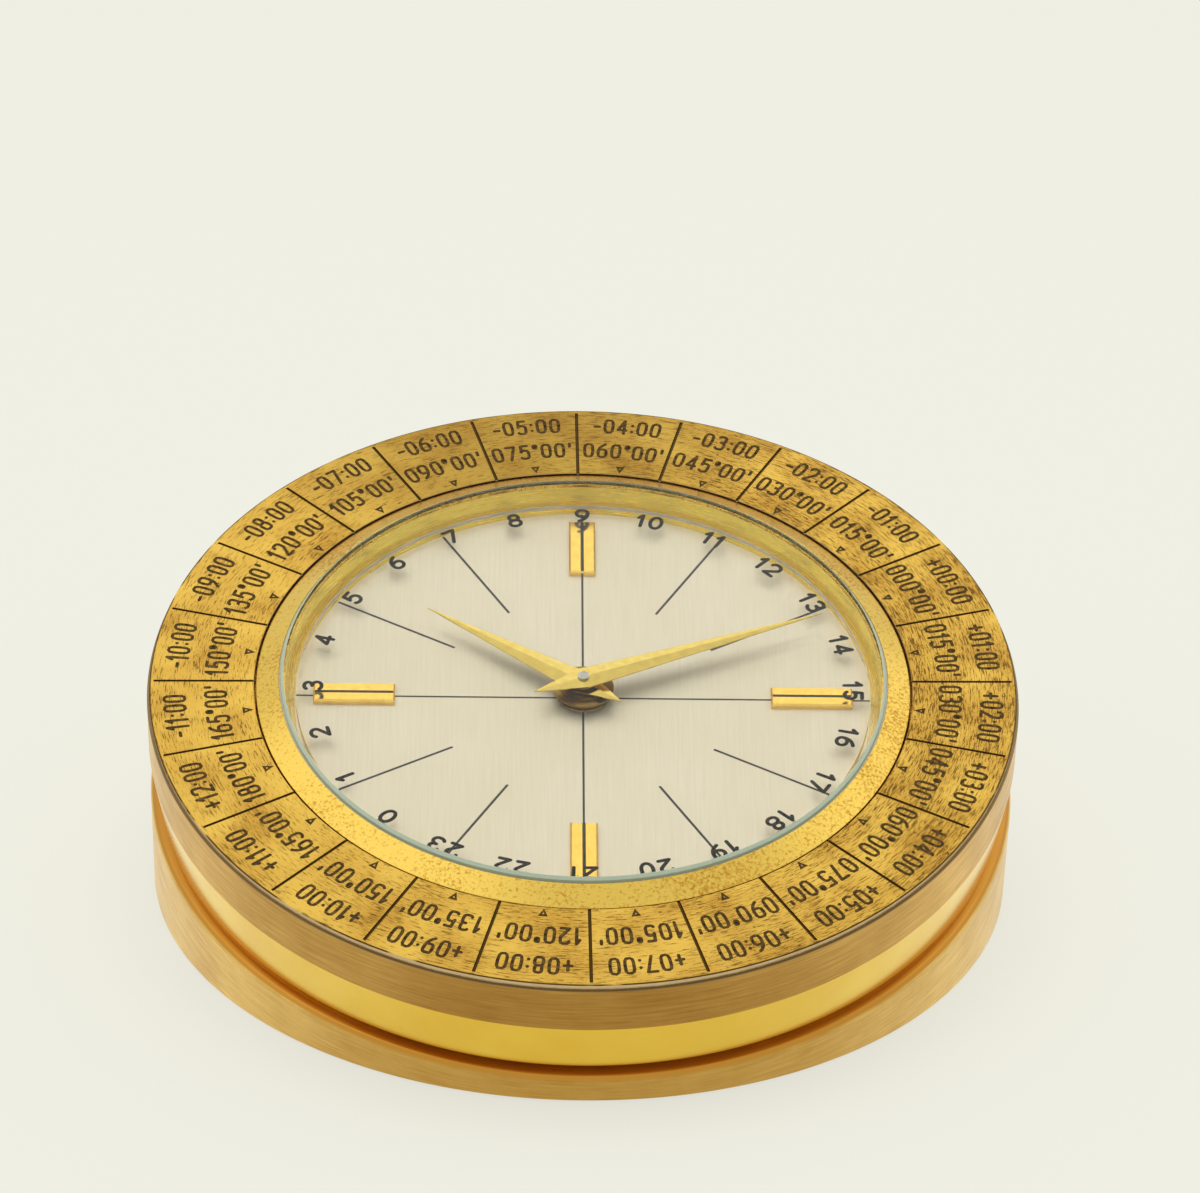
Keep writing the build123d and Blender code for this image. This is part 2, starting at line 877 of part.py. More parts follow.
def front_plate():
    """The large plate under the dial, with the studs of the minute wheel and the idler."""
    body = washer(dial_r, front_under, front_top, arbor_r + arbor_fit)
    for axis, wheel_low, top in ((minute_axis, minute_wheel_z, idler_z), (idler_axis, idler_z, day_z)):
        body += at(axis, washer(stud_head_r, front_top, wheel_low - end_shake))
        body += at(axis, washer(stud_r, front_top, top + work_t + work_gap / 2))
    hole_top = front_under + pivot_len + end_shake
    for axis in arbor_axes:
        body -= at(axis, washer(pivot_r + pivot_fit, front_under - overrun, hole_top))
    body -= at(barrel_axis, washer(barrel_pivot_r + pivot_fit, front_under - overrun, hole_top))
    foot_hole = washer(dial_foot_r + dial_foot_fit, front_under - overrun, overrun)
    for placed in ring_of(foot_hole, dial_foot_ring_r, dial_foot_turns):
        body -= placed
    return body


def back_plate():
    """The round plate at the back of the train."""
    body = washer(back_plate_r, back_under, back_top, arbor_r + arbor_fit)
    for axis in arbor_axes:
        body -= at(axis, washer(pivot_r + pivot_fit, back_top - pivot_len - end_shake, overrun))
    body -= at(barrel_axis, washer(barrel_pivot_r + pivot_fit, back_under - overrun, overrun))
    for hole in ring_of(washer(plate_screw_r, back_under - overrun, overrun), pillar_ring_r, pillar_turns):
        body -= hole
    return body


def pillars():
    """The four pillars that hold the plates apart."""
    body = washer(pillar_r, back_top, front_under)
    body -= washer(plate_screw_r, back_top - overrun, back_under + plate_screw_len)
    return ring_of(body, pillar_ring_r, pillar_turns)


def plate_screws():
    """The four screws through the back plate into the pillars."""
    screw = turned(
        (0, back_under - plate_screw_head_t),
        (plate_screw_head_r, back_under - plate_screw_head_t),
        (plate_screw_head_r, back_under),
        (plate_screw_r, back_under),
        (plate_screw_r, back_under + plate_screw_len),
        (0, back_under + plate_screw_len),
    )
    screw = slotted(screw, back_under - plate_screw_head_t)
    return ring_of(screw, pillar_ring_r, pillar_turns)


# The going train


def train_arbor():
    """An arbor with a pivot at each end, running between the plates."""
    low = back_top + end_shake
    high = front_under - end_shake
    return turned(
        (0, low - pivot_len),
        (pivot_r, low - pivot_len),
        (pivot_r, low),
        (train_arbor_r, low),
        (train_arbor_r, high),
        (pivot_r, high),
        (pivot_r, high + pivot_len),
        (0, high + pivot_len),
    )


def spoked(count, module, low, turn):
    """A train wheel with its spokes."""
    wheel = toothed(count, module, low, low + train_t, turn)
    return wheel - crossings(pitch_r(count, module) - rim_w, low, low + train_t)


def leaves_of(count, module, low, turn=0.0):
    """A train pinion, a little longer than the wheel that drives it."""
    return toothed(count, module, low - leaf_over, low + train_t + leaf_over, turn, True)


# Each first tooth follows the wheel before it, from the barrel to the escape wheel.
barrel_tooth = bearing(barrel_axis, intermediate_axis)
intermediate_leaf = tooth_facing(barrel_teeth, barrel_tooth, barrel_tooth, intermediate_leaves)
intermediate_tooth = bearing(intermediate_axis, origin_xy)
centre_leaf = tooth_facing(intermediate_teeth, intermediate_tooth, intermediate_tooth, centre_leaves)
centre_tooth = bearing(origin_xy, third_axis)
third_leaf = tooth_facing(centre_teeth, centre_tooth, centre_tooth, third_leaves)
third_tooth = bearing(third_axis, fourth_axis)
fourth_leaf = tooth_facing(third_teeth, third_tooth, third_tooth, fourth_leaves)
fourth_tooth = bearing(fourth_axis, escape_axis)
escape_leaf = tooth_facing(fourth_teeth, fourth_tooth, fourth_tooth, escape_leaves)
escape_tooth = lever_turn + 180 / escape_teeth / 2


def barrel():
    """The drum that holds the mainspring, toothed round its foot and open to its arbor."""
    rim = toothed(barrel_teeth, barrel_module, barrel_under, barrel_under + barrel_rim_t, barrel_tooth)
    shell = washer(barrel_shell_r, barrel_under, barrel_top)
    hollow = washer(barrel_shell_r - barrel_wall, barrel_under + barrel_rim_t, barrel_top - barrel_wall)
    bore = washer(barrel_arbor_r + pivot_fit, barrel_under - overrun, barrel_top + overrun)
    return at(barrel_axis, rim + shell - hollow - bore)


def spiral(turns, inner, outer, thick, steps, low, high):
    """A flat spiral strip of even pitch."""
    inside, outside = [], []
    for step in range(turns * steps + 1):
        radius = inner + (outer - inner) * step / (turns * steps)
        inside.append(polar(radius - thick / 2, 360 * step / steps))
        outside.append(polar(radius + thick / 2, 360 * step / steps))
    outline = Polygon(*outside, *reversed(inside), align=None)
    return Pos(0, 0, low) * extrude(outline, amount=high - low)


def mainspring():
    """The coiled spring inside the barrel."""
    low = barrel_under + barrel_rim_t + end_shake
    high = barrel_top - barrel_wall - end_shake
    strip = spiral(spring_turns, spring_inner_r, spring_outer_r, spring_strip_t, spring_steps, low, high)
    return at(barrel_axis, strip)


def barrel_arbor():
    """The winding arbor: a thick middle in the barrel, and a thin end that takes the key."""
    key_end = well_top - well_t - knob_gap - key_stem_len
    return at(
        barrel_axis,
        turned(
            (0, key_end),
            (barrel_pivot_r, key_end),
            (barrel_pivot_r, back_top + end_shake),
            (barrel_arbor_r, back_top + end_shake),
            (barrel_arbor_r, front_under - end_shake),
            (barrel_pivot_r, front_under - end_shake),
            (barrel_pivot_r, front_under + pivot_len),
            (0, front_under + pivot_len),
        ),
    )


def ratchet_z():
    """The ratchet wheel's underside, in the room over the barrel."""
    return front_under - train_head - ratchet_t


def ratchet_wheel():
    """The wheel on the winding arbor that the click holds."""
    low, high = ratchet_z(), ratchet_z() + ratchet_t
    wheel = saw_toothed(ratchet_teeth, ratchet_r, ratchet_root_r, low, high, click_turn)
    return at(barrel_axis, wheel - washer(barrel_arbor_r, back_under, overrun))


def click():
    """The pawl on its stud, shown as it rides over the tip of a tooth."""
    low = ratchet_z()
    tip_x = ratchet_r + click_play
    start = ratchet_r + click_arm
    corners = [(tip_x, -click_tip / 2), (start, -click_r), (start, click_r), (tip_x, click_tip / 2)]
    arm = Pos(0, 0, low) * extrude(Polygon(*corners, align=None), amount=ratchet_t)
    eye = Pos(start, 0, 0) * washer(click_r, low, low + ratchet_t)
    bore = Pos(start, 0, 0) * washer(train_arbor_r + pivot_fit, low - overrun, overrun)
    return at(barrel_axis, Rot(0, 0, click_turn) * (arm + eye - bore))


def click_stud():
    """The shouldered stud under the front plate that the click swings on."""
    low = ratchet_z() - click_play
    stud = washer(train_arbor_r, low, front_under)
    head = washer(click_r, low - train_t / 2, low)
    return at(click_axis, stud + head)


def intermediate_wheel():
    """The first wheel after the barrel."""
    pinion = leaves_of(intermediate_leaves, barrel_module, barrel_under, intermediate_leaf)
    wheel = spoked(intermediate_teeth, intermediate_module, intermediate_z, intermediate_tooth)
    return at(intermediate_axis, train_arbor() + pinion + wheel)


def centre_wheel():
    """The wheel that turns once an hour, free on the centre arbor under the clutch spring."""
    low = centre_z - leaf_over
    leaves_top = front_under - end_shake * 2
    pinion = toothed(centre_leaves, intermediate_module, centre_z + train_t, leaves_top, centre_leaf, True)
    wheel = spoked(centre_teeth, centre_module, centre_z, centre_tooth)
    boss = washer(boss_r, low, centre_z + train_t)
    bore = washer(arbor_r + arbor_fit, low - overrun, overrun)
    return pinion + wheel + boss - bore


def third_wheel():
    """The third wheel and its pinion."""
    pinion = leaves_of(third_leaves, centre_module, centre_z, third_leaf)
    wheel = spoked(third_teeth, third_module, third_z, third_tooth)
    return at(third_axis, train_arbor() + pinion + wheel)


def fourth_wheel():
    """The fourth wheel, which turns once a minute."""
    pinion = leaves_of(fourth_leaves, third_module, third_z, fourth_leaf)
    wheel = spoked(fourth_teeth, fourth_module, fourth_z, fourth_tooth)
    return at(fourth_axis, train_arbor() + pinion + wheel)


def escape_wheel():
    """The escape wheel and its pinion."""
    pinion = leaves_of(escape_leaves, fourth_module, fourth_z, escape_leaf)
    wheel = saw_toothed(escape_teeth, escape_r, escape_root_r, escape_z, escape_z + lever_t, escape_tooth)
    return at(escape_axis, train_arbor() + pinion + wheel)


# The escapement


def pallet_lever():
    """The lever: two arms with pallets over the escape wheel, and the fork towards the balance."""
    corner = (Align.MIN, Align.CENTER, Align.MIN)
    tip_r = escape_r + pallet_play
    body = washer(lever_boss_r, escape_z, escape_z + lever_t)
    for side in (1, -1):
        foot = polar(tip_r, side * pallet_turn)
        head = polar(tip_r + pallet_len, side * pallet_turn)
        pallet = Pos(0, 0, escape_z) * Box(pallet_len, pallet_w, lever_t, align=corner)
        body += Pos(-lever_reach, 0, 0) * Rot(0, 0, side * pallet_turn) * Pos(tip_r, 0, 0) * pallet
        reach = (head[0] + foot[0]) / 2 - lever_reach + pallet_len / 2
        arm_end = (reach, (head[1] + foot[1]) / 2)
        long = math.hypot(*arm_end)
        arm = Pos(0, 0, escape_z) * Box(long, lever_arm_w, lever_t, align=corner)
        body += Rot(0, 0, math.degrees(math.atan2(arm_end[1], arm_end[0]))) * arm
    body += Pos(0, 0, escape_z) * Box(fork_len - fork_slot_len, lever_arm_w, lever_t, align=corner)
    fork = Pos(fork_len - fork_slot_len, 0, escape_z) * Box(fork_slot_len, fork_w, lever_t, align=corner)
    slot = Pos(fork_len - fork_slot_len, 0, escape_z - lever_t)
    fork -= slot * Box(fork_slot_len * 2, fork_slot_w, lever_t * 3, align=corner)
    body += fork
    return at(lever_axis, Rot(0, 0, lever_turn) * body + train_arbor())


def balance_z():
    """The underside of the balance wheel's rim."""
    return escape_z - balance_gap - balance_t - hair_t * 2


def balance_wheel():
    """The balance: a rim on two arms, its staff, and the roller with its jewel pin."""
    low = balance_z()
    rim = washer(balance_r, low, low + balance_t, balance_r - balance_rim_w)
    span = 2 * balance_r - balance_rim_w
    middle = (Align.CENTER, Align.CENTER, Align.MIN)
    arm = Pos(0, 0, low) * Box(span, balance_arm_w, balance_t / 2, align=middle)
    roller_low = escape_z - jewel_len / 2 - roller_t - jewel_len
    roller = washer(roller_r, roller_low, roller_low + roller_t)
    pin = Pos(-jewel_ring_r, 0, roller_low + roller_t) * washer(jewel_r, 0, jewel_len)
    return at(balance_axis, Rot(0, 0, lever_turn) * (rim + arm + roller + pin) + train_arbor())


def hairspring():
    """The flat hairspring over the balance, with the post on the front plate that pins its end."""
    low = balance_z() + balance_t + hair_t / 2
    strip = spiral(hair_turns, hair_inner_r, hair_outer_r, hair_w, hair_steps, low, low + hair_t)
    corner = (Align.MIN, Align.CENTER, Align.MIN)
    post = Pos(hair_outer_r, 0, low) * Box(hair_stud_w, hair_stud_w, front_under - low, align=corner)
    return at(balance_axis, strip + post)


# The underside


def base_plate():
    """The plate let into the drum's foot, open round the winding well."""
    body = washer(rebate_r - base_fit, -axis_depth - overrun, 0) & slab(base_lift, base_lift + base_t)
    body -= Pos(0, well_centre_y, 0) * washer(well_r + well_fit, -axis_depth - overrun, 0)
    for screw in round_the_base(base_screw_tool(base_fit)):
        body -= screw
    for pad in foot_pads():
        body -= pad
    return body


def on_base(shape):
    """A shape that stands square to the table, brought into the arbor axis's frame."""
    return Pos(0, 0, -axis_depth) * Rot(-lean, 0, 0) * shape


def base_screw_tool(fit):
    """A countersunk screw standing in the base plate, or with a fit the hole for it."""
    top = base_lift + base_screw_len
    return turned(
        (0, base_lift),
        (base_screw_head_r + fit, base_lift),
        (base_screw_r + fit, base_lift + base_screw_head_r - base_screw_r),
        (base_screw_r + fit, top),
        (0, top),
    )


def round_the_base(screw):
    """Copies of a screw in the drum's wall, square to the table."""
    placed = []
    for turn in base_screw_turns:
        x, y = polar(base_screw_ring_r, turn)
        placed.append(on_base(Pos(x, y / math.cos(slope), 0) * screw))
    return placed


def base_screws():
    """Four screws from below."""
    return round_the_base(slotted(base_screw_tool(0), base_lift))


def foot_pads():
    """Three felt discs let into the base plate, which the clock stands on."""
    pad = Cylinder(foot_pad_r, foot_pad_t, align=(Align.CENTER, Align.CENTER, Align.MIN))
    placed = []
    for turn in foot_pad_turns:
        x, y = polar(foot_pad_ring_r, turn)
        placed.append(on_base(Pos(x, y, 0) * pad))
    return placed


def winding_well():
    """The spun cup over the knob and the key, with a flange on the base plate."""
    bottom = -axis_depth - overrun
    cup = washer(well_r, bottom, well_top) - washer(well_r - well_t, bottom - overrun, well_top - well_t)
    cup -= below_plane(base_lift)
    flange = washer(well_r + well_flange_w, bottom, 0, well_r - well_t)
    flange &= slab(base_lift + base_t, base_lift + base_t + well_flange_t)
    body = Pos(0, well_centre_y, 0) * (cup + flange)
    body -= washer(knob_neck_r + well_hole_fit, bottom, 0)
    body -= at(barrel_axis, washer(key_stem_r + well_hole_fit, bottom, 0))
    return body


def winding_key():
    """The butterfly key on the winding arbor."""
    top = well_top - well_t - knob_gap
    stem = washer(key_stem_r, top - key_stem_len, top + knob_gap / 2)
    low = top - key_stem_len - key_lobe_r
    wing = Pos(0, 0, low) * Box(
        (key_span - key_lobe_r) * 2, key_t, key_lobe_r * 2, align=(Align.CENTER, Align.CENTER, Align.MIN)
    )
    lobe = Rot(90, 0, 0) * Cylinder(key_lobe_r, key_t)
    for side in (1, -1):
        wing += Pos(side * (key_span - key_lobe_r), 0, low + key_lobe_r) * lobe
    bore = washer(barrel_pivot_r, top - key_stem_len, overrun)
    return at(barrel_axis, stem + wing - bore)


nodes = {
    "wedge_drum": wedge_drum(),
    "base_plate": base_plate(),
    "base_screws": base_screws(),
    "foot_pads": foot_pads(),
    "winding_well": winding_well(),
    "zone_ring": zone_ring(),
    "zone_plate": zone_plate(),
    "ring_spring": ring_spring(),
    "glass_bezel": glass_bezel(),
    "bezel_screws": bezel_screws(),
    "crystal": crystal(),
    "crystal_gasket": crystal_gasket(),
    "dial_wall": dial_wall(),
    "dial_plate": dial_plate(),
    "dial_spacer": dial_spacer(),
    "hour_bars": hour_bars(),
    "day_disc": day_disc(),
    "disc_hub": disc_hub(),
    "hub_washer": hub_washer(),
    "day_wheel": day_wheel(),
    "hour_hand": hour_hand(),
    "hour_wheel": hour_wheel(),
    "minute_hand": minute_hand(),
    "cannon_pinion": cannon_pinion(),
    "centre_arbor": centre_arbor(),
    "clutch_spring": clutch_spring(),
    "setting_knob": setting_knob(),
    "minute_wheel": minute_wheel(),
    "reversing_idler": reversing_idler(),
    "front_plate": front_plate(),
    "back_plate": back_plate(),
    "pillars": pillars(),
    "plate_screws": plate_screws(),
    "barrel": barrel(),
    "mainspring": mainspring(),
    "barrel_arbor": barrel_arbor(),
    "ratchet_wheel": ratchet_wheel(),
    "click": click(),
    "click_stud": click_stud(),
    "winding_key": winding_key(),
    "intermediate_wheel": intermediate_wheel(),
    "centre_wheel": centre_wheel(),
    "third_wheel": third_wheel(),
    "fourth_wheel": fourth_wheel(),
    "escape_wheel": escape_wheel(),
    "pallet_lever": pallet_lever(),
    "balance_wheel": balance_wheel(),
    "hairspring": hairspring(),
}

os.makedirs("parts", exist_ok=True)
for name, shape in nodes.items():
    pieces = shape if isinstance(shape, list) else [shape]
    solids = [solid for piece in pieces for solid in (clock_seat * piece).solids()]
    export_step(solids[0] if len(solids) == 1 else Compound(children=solids), f"parts/{name}.step")
    print(name, len(solids))
print("dial axis at zero height", [round(value, 5) for value in clock_seat.position])
print("dial axis on the table", [round(value, 5) for value in table_seat.position])
for label, axis in (
    ("minute", minute_axis),
    ("idler", idler_axis),
    ("barrel", barrel_axis),
    ("intermediate", intermediate_axis),
    ("third", third_axis),
    ("fourth", fourth_axis),
    ("escape", escape_axis),
    ("lever", lever_axis),
    ("balance", balance_axis),
    ("click", click_axis),
):
    print(label, "axis", [round(value, 5) for value in axis])
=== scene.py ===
import json
import math
from collections import namedtuple

import bmesh
import bpy
import numpy as np
from mathutils import Matrix


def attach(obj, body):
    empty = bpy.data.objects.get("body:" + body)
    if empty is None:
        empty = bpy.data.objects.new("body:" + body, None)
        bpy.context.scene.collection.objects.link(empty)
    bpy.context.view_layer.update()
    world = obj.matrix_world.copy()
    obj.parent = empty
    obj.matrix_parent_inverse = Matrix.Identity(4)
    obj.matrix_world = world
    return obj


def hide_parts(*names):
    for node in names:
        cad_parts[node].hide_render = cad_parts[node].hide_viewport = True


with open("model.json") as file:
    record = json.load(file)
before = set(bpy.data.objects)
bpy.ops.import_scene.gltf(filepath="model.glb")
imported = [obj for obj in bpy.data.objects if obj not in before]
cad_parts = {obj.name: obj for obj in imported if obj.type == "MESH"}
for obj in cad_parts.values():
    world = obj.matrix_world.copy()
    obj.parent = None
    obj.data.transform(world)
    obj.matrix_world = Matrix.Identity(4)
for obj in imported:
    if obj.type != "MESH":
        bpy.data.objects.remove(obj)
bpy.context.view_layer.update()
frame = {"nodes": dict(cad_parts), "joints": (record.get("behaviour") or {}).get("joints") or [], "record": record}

# The clock's own frame.
# The arbor leans back from the table. Z comes out of the dial along it, zero is the face of
# the zone plate, Y points to twelve, and every size of the clock is in millimetres there.
arbor = next(joint for joint in frame["joints"] if joint["name"] == "zone_ring_spin")
arbor_foot = np.array(arbor["pos_m"])
lean = math.atan2(-arbor["axis"][1], arbor["axis"][2])
leaning = np.array([
    [1, 0, 0],
    [0, math.cos(lean), -math.sin(lean)],
    [0, math.sin(lean), math.cos(lean)],
])
mm = 0.001


def on_clock(points):
    """Turns points of the clock's frame back by the lean and moves them to the arbor, in metres."""
    return np.asarray(points, float) @ leaning.T * mm + arbor_foot


# The view and the light.
# The lens looks down on the dial as the photograph does. A soft lamp over the dial lights it,
# and wide ones left, right and behind give the brass its highlights, over a plain pale floor.
photo_width = 1200
focal_px = 5544.232
eye_distance = 700.0
eye_elevation = math.radians(40.473)
eye_roll = math.radians(1.459)
eye_twist = math.radians(-1.33)
eye_right, eye_up = -2.092, -10.684


def spun(angle):
    """The matrix of a turn about Z."""
    return np.array([
        [math.cos(angle), -math.sin(angle), 0],
        [math.sin(angle), math.cos(angle), 0],
        [0, 0, 1],
    ])


tilt_up = np.array([0, math.sin(eye_elevation), math.cos(eye_elevation)])
ahead = np.array([0, math.cos(eye_elevation), -math.sin(eye_elevation)])
sideways = np.array([1.0, 0, 0])
across = math.cos(eye_roll) * sideways + math.sin(eye_roll) * tilt_up
upward = -math.sin(eye_roll) * sideways + math.cos(eye_roll) * tilt_up
eye = -eye_right * across - eye_up * upward - eye_distance * ahead
turn_eye = spun(eye_twist).T
view_axes = np.stack([across, upward, -ahead]) @ turn_eye @ leaning.T
camera_data = bpy.data.cameras.new("photo_lens")
camera_data.sensor_fit = "HORIZONTAL"
camera_data.lens = focal_px / photo_width * camera_data.sensor_width
camera_data.clip_end = 10.0
camera = bpy.data.objects.new("photo_view", camera_data)
bpy.context.collection.objects.link(camera)
placing = Matrix(view_axes.T.tolist()).to_4x4()
placing.translation = on_clock(eye @ turn_eye)
camera.matrix_world = placing
bpy.context.scene.camera = camera
bpy.context.scene.view_settings.view_transform = "Standard"


def linear(code):
    """An sRGB hex colour as linear RGBA."""
    parts = np.array([int(code[place:place + 2], 16) / 255 for place in (1, 3, 5)])
    low = parts / 12.92
    high = ((parts + 0.055) / 1.055) ** 2.4
    return (*np.where(parts > 0.04045, high, low).tolist(), 1.0)


def add(tree, kind, sockets=(), **settings):
    """Adds a node: settings are its own values, sockets name inputs with a value or a link."""
    made = tree.nodes.new(kind)
    for name, value in settings.items():
        setattr(made, name, value)
    for name, value in dict(sockets).items():
        if isinstance(value, bpy.types.NodeSocket):
            tree.links.new(value, made.inputs[name])
        else:
            made.inputs[name].default_value = value
    return made


backdrop, backdrop_glow, room_glow = "#F3F3E9", 0.95, 0.55
world = bpy.data.worlds.new("studio")
bpy.context.scene.world = world
world.use_nodes = True


def seen_by_eye(tree):
    """One for a ray that ends in the camera straight, by a mirror or through glass."""
    rays = add(tree, "ShaderNodeLightPath").outputs
    seen = rays["Is Camera Ray"]
    for way in ("Is Glossy Ray", "Is Transmission Ray"):
        seen = add(tree, "ShaderNodeMath", {0: seen, 1: rays[way]}, operation="MAXIMUM").outputs[0]
    return seen


tree = world.node_tree
tree.nodes.clear()
room = add(tree, "ShaderNodeBackground", {"Color": linear("#FFFFFF"), "Strength": room_glow})
wall = add(tree, "ShaderNodeBackground", {"Color": linear(backdrop), "Strength": backdrop_glow})
both = add(tree, "ShaderNodeMixShader", {0: seen_by_eye(tree), 1: room.outputs[0], 2: wall.outputs[0]})
add(tree, "ShaderNodeOutputWorld", {"Surface": both.outputs[0]})

floor_half = 1.5
floor_glow, mirrored_glow = 0.74, 0.9


def between(tree, value, low, high, least=0.0, most=1.0):
    """A value stretched from a low and a high mark to a least and a most, and clamped there."""
    return add(tree, "ShaderNodeMapRange", {
        "Value": value, "From Min": low, "From Max": high, "To Min": least, "To Max": most,
    }).outputs[0]


def both_of(tree, first, second):
    """The product of two values."""
    return add(tree, "ShaderNodeMath", {0: first, 1: second}, operation="MULTIPLY").outputs[0]


floor_mesh = bpy.data.meshes.new("floor")
corners = [(x * floor_half, y * floor_half, 0) for x, y in ((-1, -1), (1, -1), (1, 1), (-1, 1))]
floor_mesh.from_pydata(corners, [], [(0, 1, 2, 3)])
floor = bpy.data.objects.new("floor", floor_mesh)
bpy.context.collection.objects.link(floor)
paper = bpy.data.materials.new("pale_floor")
paper.use_nodes = True
tree = paper.node_tree
tree.nodes.clear()
direct = add(tree, "ShaderNodeLightPath").outputs["Is Camera Ray"]
strength = between(tree, direct, 0, 1, mirrored_glow, floor_glow)
sheet = add(tree, "ShaderNodeBsdfPrincipled", {
    "Base Color": linear("#7F7F76"), "Roughness": 0.9, "Specular IOR Level": 0.0,
    "Emission Color": linear(backdrop), "Emission Strength": both_of(tree, seen_by_eye(tree), strength),
})
add(tree, "ShaderNodeOutputMaterial", {"Surface": sheet.outputs[0]})
floor_mesh.materials.append(paper)


def lamp(name, heading, distance, size, watts, mirrored=True):
    """A square soft lamp in a direction of the clock's frame, at a distance and of a size in
    metres, that faces the dial. One that isn't mirrored lights what is matt alone."""
    data = bpy.data.lights.new(name, "AREA")
    data.size = size
    data.energy = watts
    made = bpy.data.objects.new(name, data)
    bpy.context.collection.objects.link(made)
    made.visible_glossy = mirrored
    back = leaning @ (np.array(heading, float) / np.linalg.norm(heading))
    side = np.cross([0, 1, 0], back)
    side = side / np.linalg.norm(side)
    made.matrix_world = Matrix(np.stack([side, np.cross(back, side), back]).T.tolist()).to_4x4()
    made.matrix_world.translation = back * distance + arbor_foot


lamp("dial_softbox", (0.0, 0.2, 1.0), 0.9, 0.5, 2.4, mirrored=False)
lamp("left_softbox", (-0.62, 0.2, 0.76), 1.2, 1.2, 1.7)
lamp("right_softbox", (0.66, 0.5, 0.56), 1.2, 1.1, 1.4)
lamp("back_softbox", (0.0, 0.86, 0.51), 1.2, 0.8, 0.9)

# The movement.
# Wheels and plates of grained brass, steel arbors and springs, nickelled screws, all shut in
# the drum. These are the CAD's own solids with their finishes.


def shader(name, sockets):
    """A new material with one Principled shader, returned with its tree and that shader."""
    made = bpy.data.materials.new(name)
    made.use_nodes = True
    made.node_tree.nodes.clear()
    body = add(made.node_tree, "ShaderNodeBsdfPrincipled", sockets)
    add(made.node_tree, "ShaderNodeOutputMaterial", {"Surface": body.outputs[0]})
    return made, made.node_tree, body


Place = namedtuple("Place", "point radius heading height")


def clock_place(tree):
    """A pattern's place in the clock's frame, in millimetres: the point, its distance from the
    arbor, its heading from the arbor and its height."""
    spot = add(tree, "ShaderNodeTexCoord").outputs["Object"]
    point = add(tree, "ShaderNodeMapping", {
        "Vector": spot, "Location": arbor_foot.tolist(), "Rotation": (lean, 0, 0), "Scale": (mm, mm, mm),
    }, vector_type="TEXTURE").outputs[0]
    flat = add(tree, "ShaderNodeVectorMath", {0: point, 1: (1, 1, 0)}, operation="MULTIPLY").outputs[0]
    radius = add(tree, "ShaderNodeVectorMath", {0: flat}, operation="LENGTH").outputs["Value"]
    heading = add(tree, "ShaderNodeVectorMath", {0: flat}, operation="NORMALIZE").outputs[0]
    height = add(tree, "ShaderNodeSeparateXYZ", {0: point}).outputs["Z"]
    return Place(point, radius, heading, height)


def added(tree, first, second):
    """The sum of two values."""
    return add(tree, "ShaderNodeMath", {0: first, 1: second}, operation="ADD").outputs[0]


def noise(tree, where, scale, detail=3.0, rough=0.5):
    """Noise at a place, with so many cells to a unit."""
    sockets = {"Vector": where, "Scale": scale, "Detail": detail, "Roughness": rough}
    return add(tree, "ShaderNodeTexNoise", sockets).outputs["Fac"]


def round_grain(tree, place, width, length, detail=3.0, rough=0.6):
    """Noise drawn out round the arbor: streaks of a width and a length in millimetres. The
    distance from the arbor plus the height tells one streak from the next."""
    sockets = {0: place.heading, "Scale": case_r / length}
    lap = add(tree, "ShaderNodeVectorMath", sockets, operation="SCALE")
    step = both_of(tree, added(tree, place.radius, place.height), 1 / width)
    rise = add(tree, "ShaderNodeCombineXYZ", {"Z": step}).outputs[0]
    where = add(tree, "ShaderNodeVectorMath", {0: lap.outputs[0], 1: rise}, operation="ADD").outputs[0]
    return noise(tree, where, 1.0, detail, rough)


def blended(tree, share, first, second):
    """Two colours mixed by a share; each is a hex colour or a link."""
    ends = [linear(colour) if isinstance(colour, str) else colour for colour in (first, second)]
    return add(tree, "ShaderNodeMix", {0: share, 6: ends[0], 7: ends[1]}, data_type="RGBA").outputs[2]


def relief(tree, height, depth, strength=1.0):
    """A bump of a depth in millimetres."""
    sockets = {"Height": height, "Distance": depth * mm, "Strength": strength}
    return add(tree, "ShaderNodeBump", sockets).outputs[0]


def wire(tree, body, **links):
    """Links values to the shader's sockets: colour, roughness, metal and bump."""
    sockets = {"colour": "Base Color", "roughness": "Roughness", "metal": "Metallic", "bump": "Normal"}
    for name, value in links.items():
        tree.links.new(value, body.inputs[sockets[name]])


def brushed_brass(name, bright, dull, roughness, grain=0.25, stain=0.09, depth=0.01, metal=1.0):
    """Lacquered brass brushed on the lathe: fine streaks round the arbor, and brown patina in
    slow patches where the lacquer has thinned. The real grain is under 0.1 mm wide and drawn
    coarser, so that it shows. A lower metal share stands for lacquer gone cloudy."""
    made, tree, body = shader(name, {"Metallic": metal})
    place = clock_place(tree)
    streak = round_grain(tree, place, grain, 6.0)
    tone = added(tree, streak, noise(tree, place.point, stain, 5.0, 0.65))
    wire(
        tree, body,
        colour=blended(tree, between(tree, tone, 0.7, 1.45), bright, dull),
        roughness=between(tree, streak, 0.3, 0.7, roughness - 0.05, roughness + 0.07),
        bump=relief(tree, streak, depth, 0.5),
    )
    return made


def polished_metal(name, colour, shade, roughness):
    """A hand-polished or plated metal: nearly a mirror, with the finest wiping marks."""
    made, tree, body = shader(name, {"Metallic": 1.0, "Roughness": roughness})
    haze = noise(tree, clock_place(tree).point, 0.9, 4.0)
    wire(
        tree, body,
        colour=blended(tree, between(tree, haze, 0.3, 0.7), colour, shade),
        bump=relief(tree, haze, 0.002, 0.5),
    )
    return made


def repaint(material, *nodes):
    """Gives the CAD's own solids a finish."""
    for node in nodes:
        for place in frame["nodes"][node].material_slots:
            place.link = "OBJECT"
            place.material = material


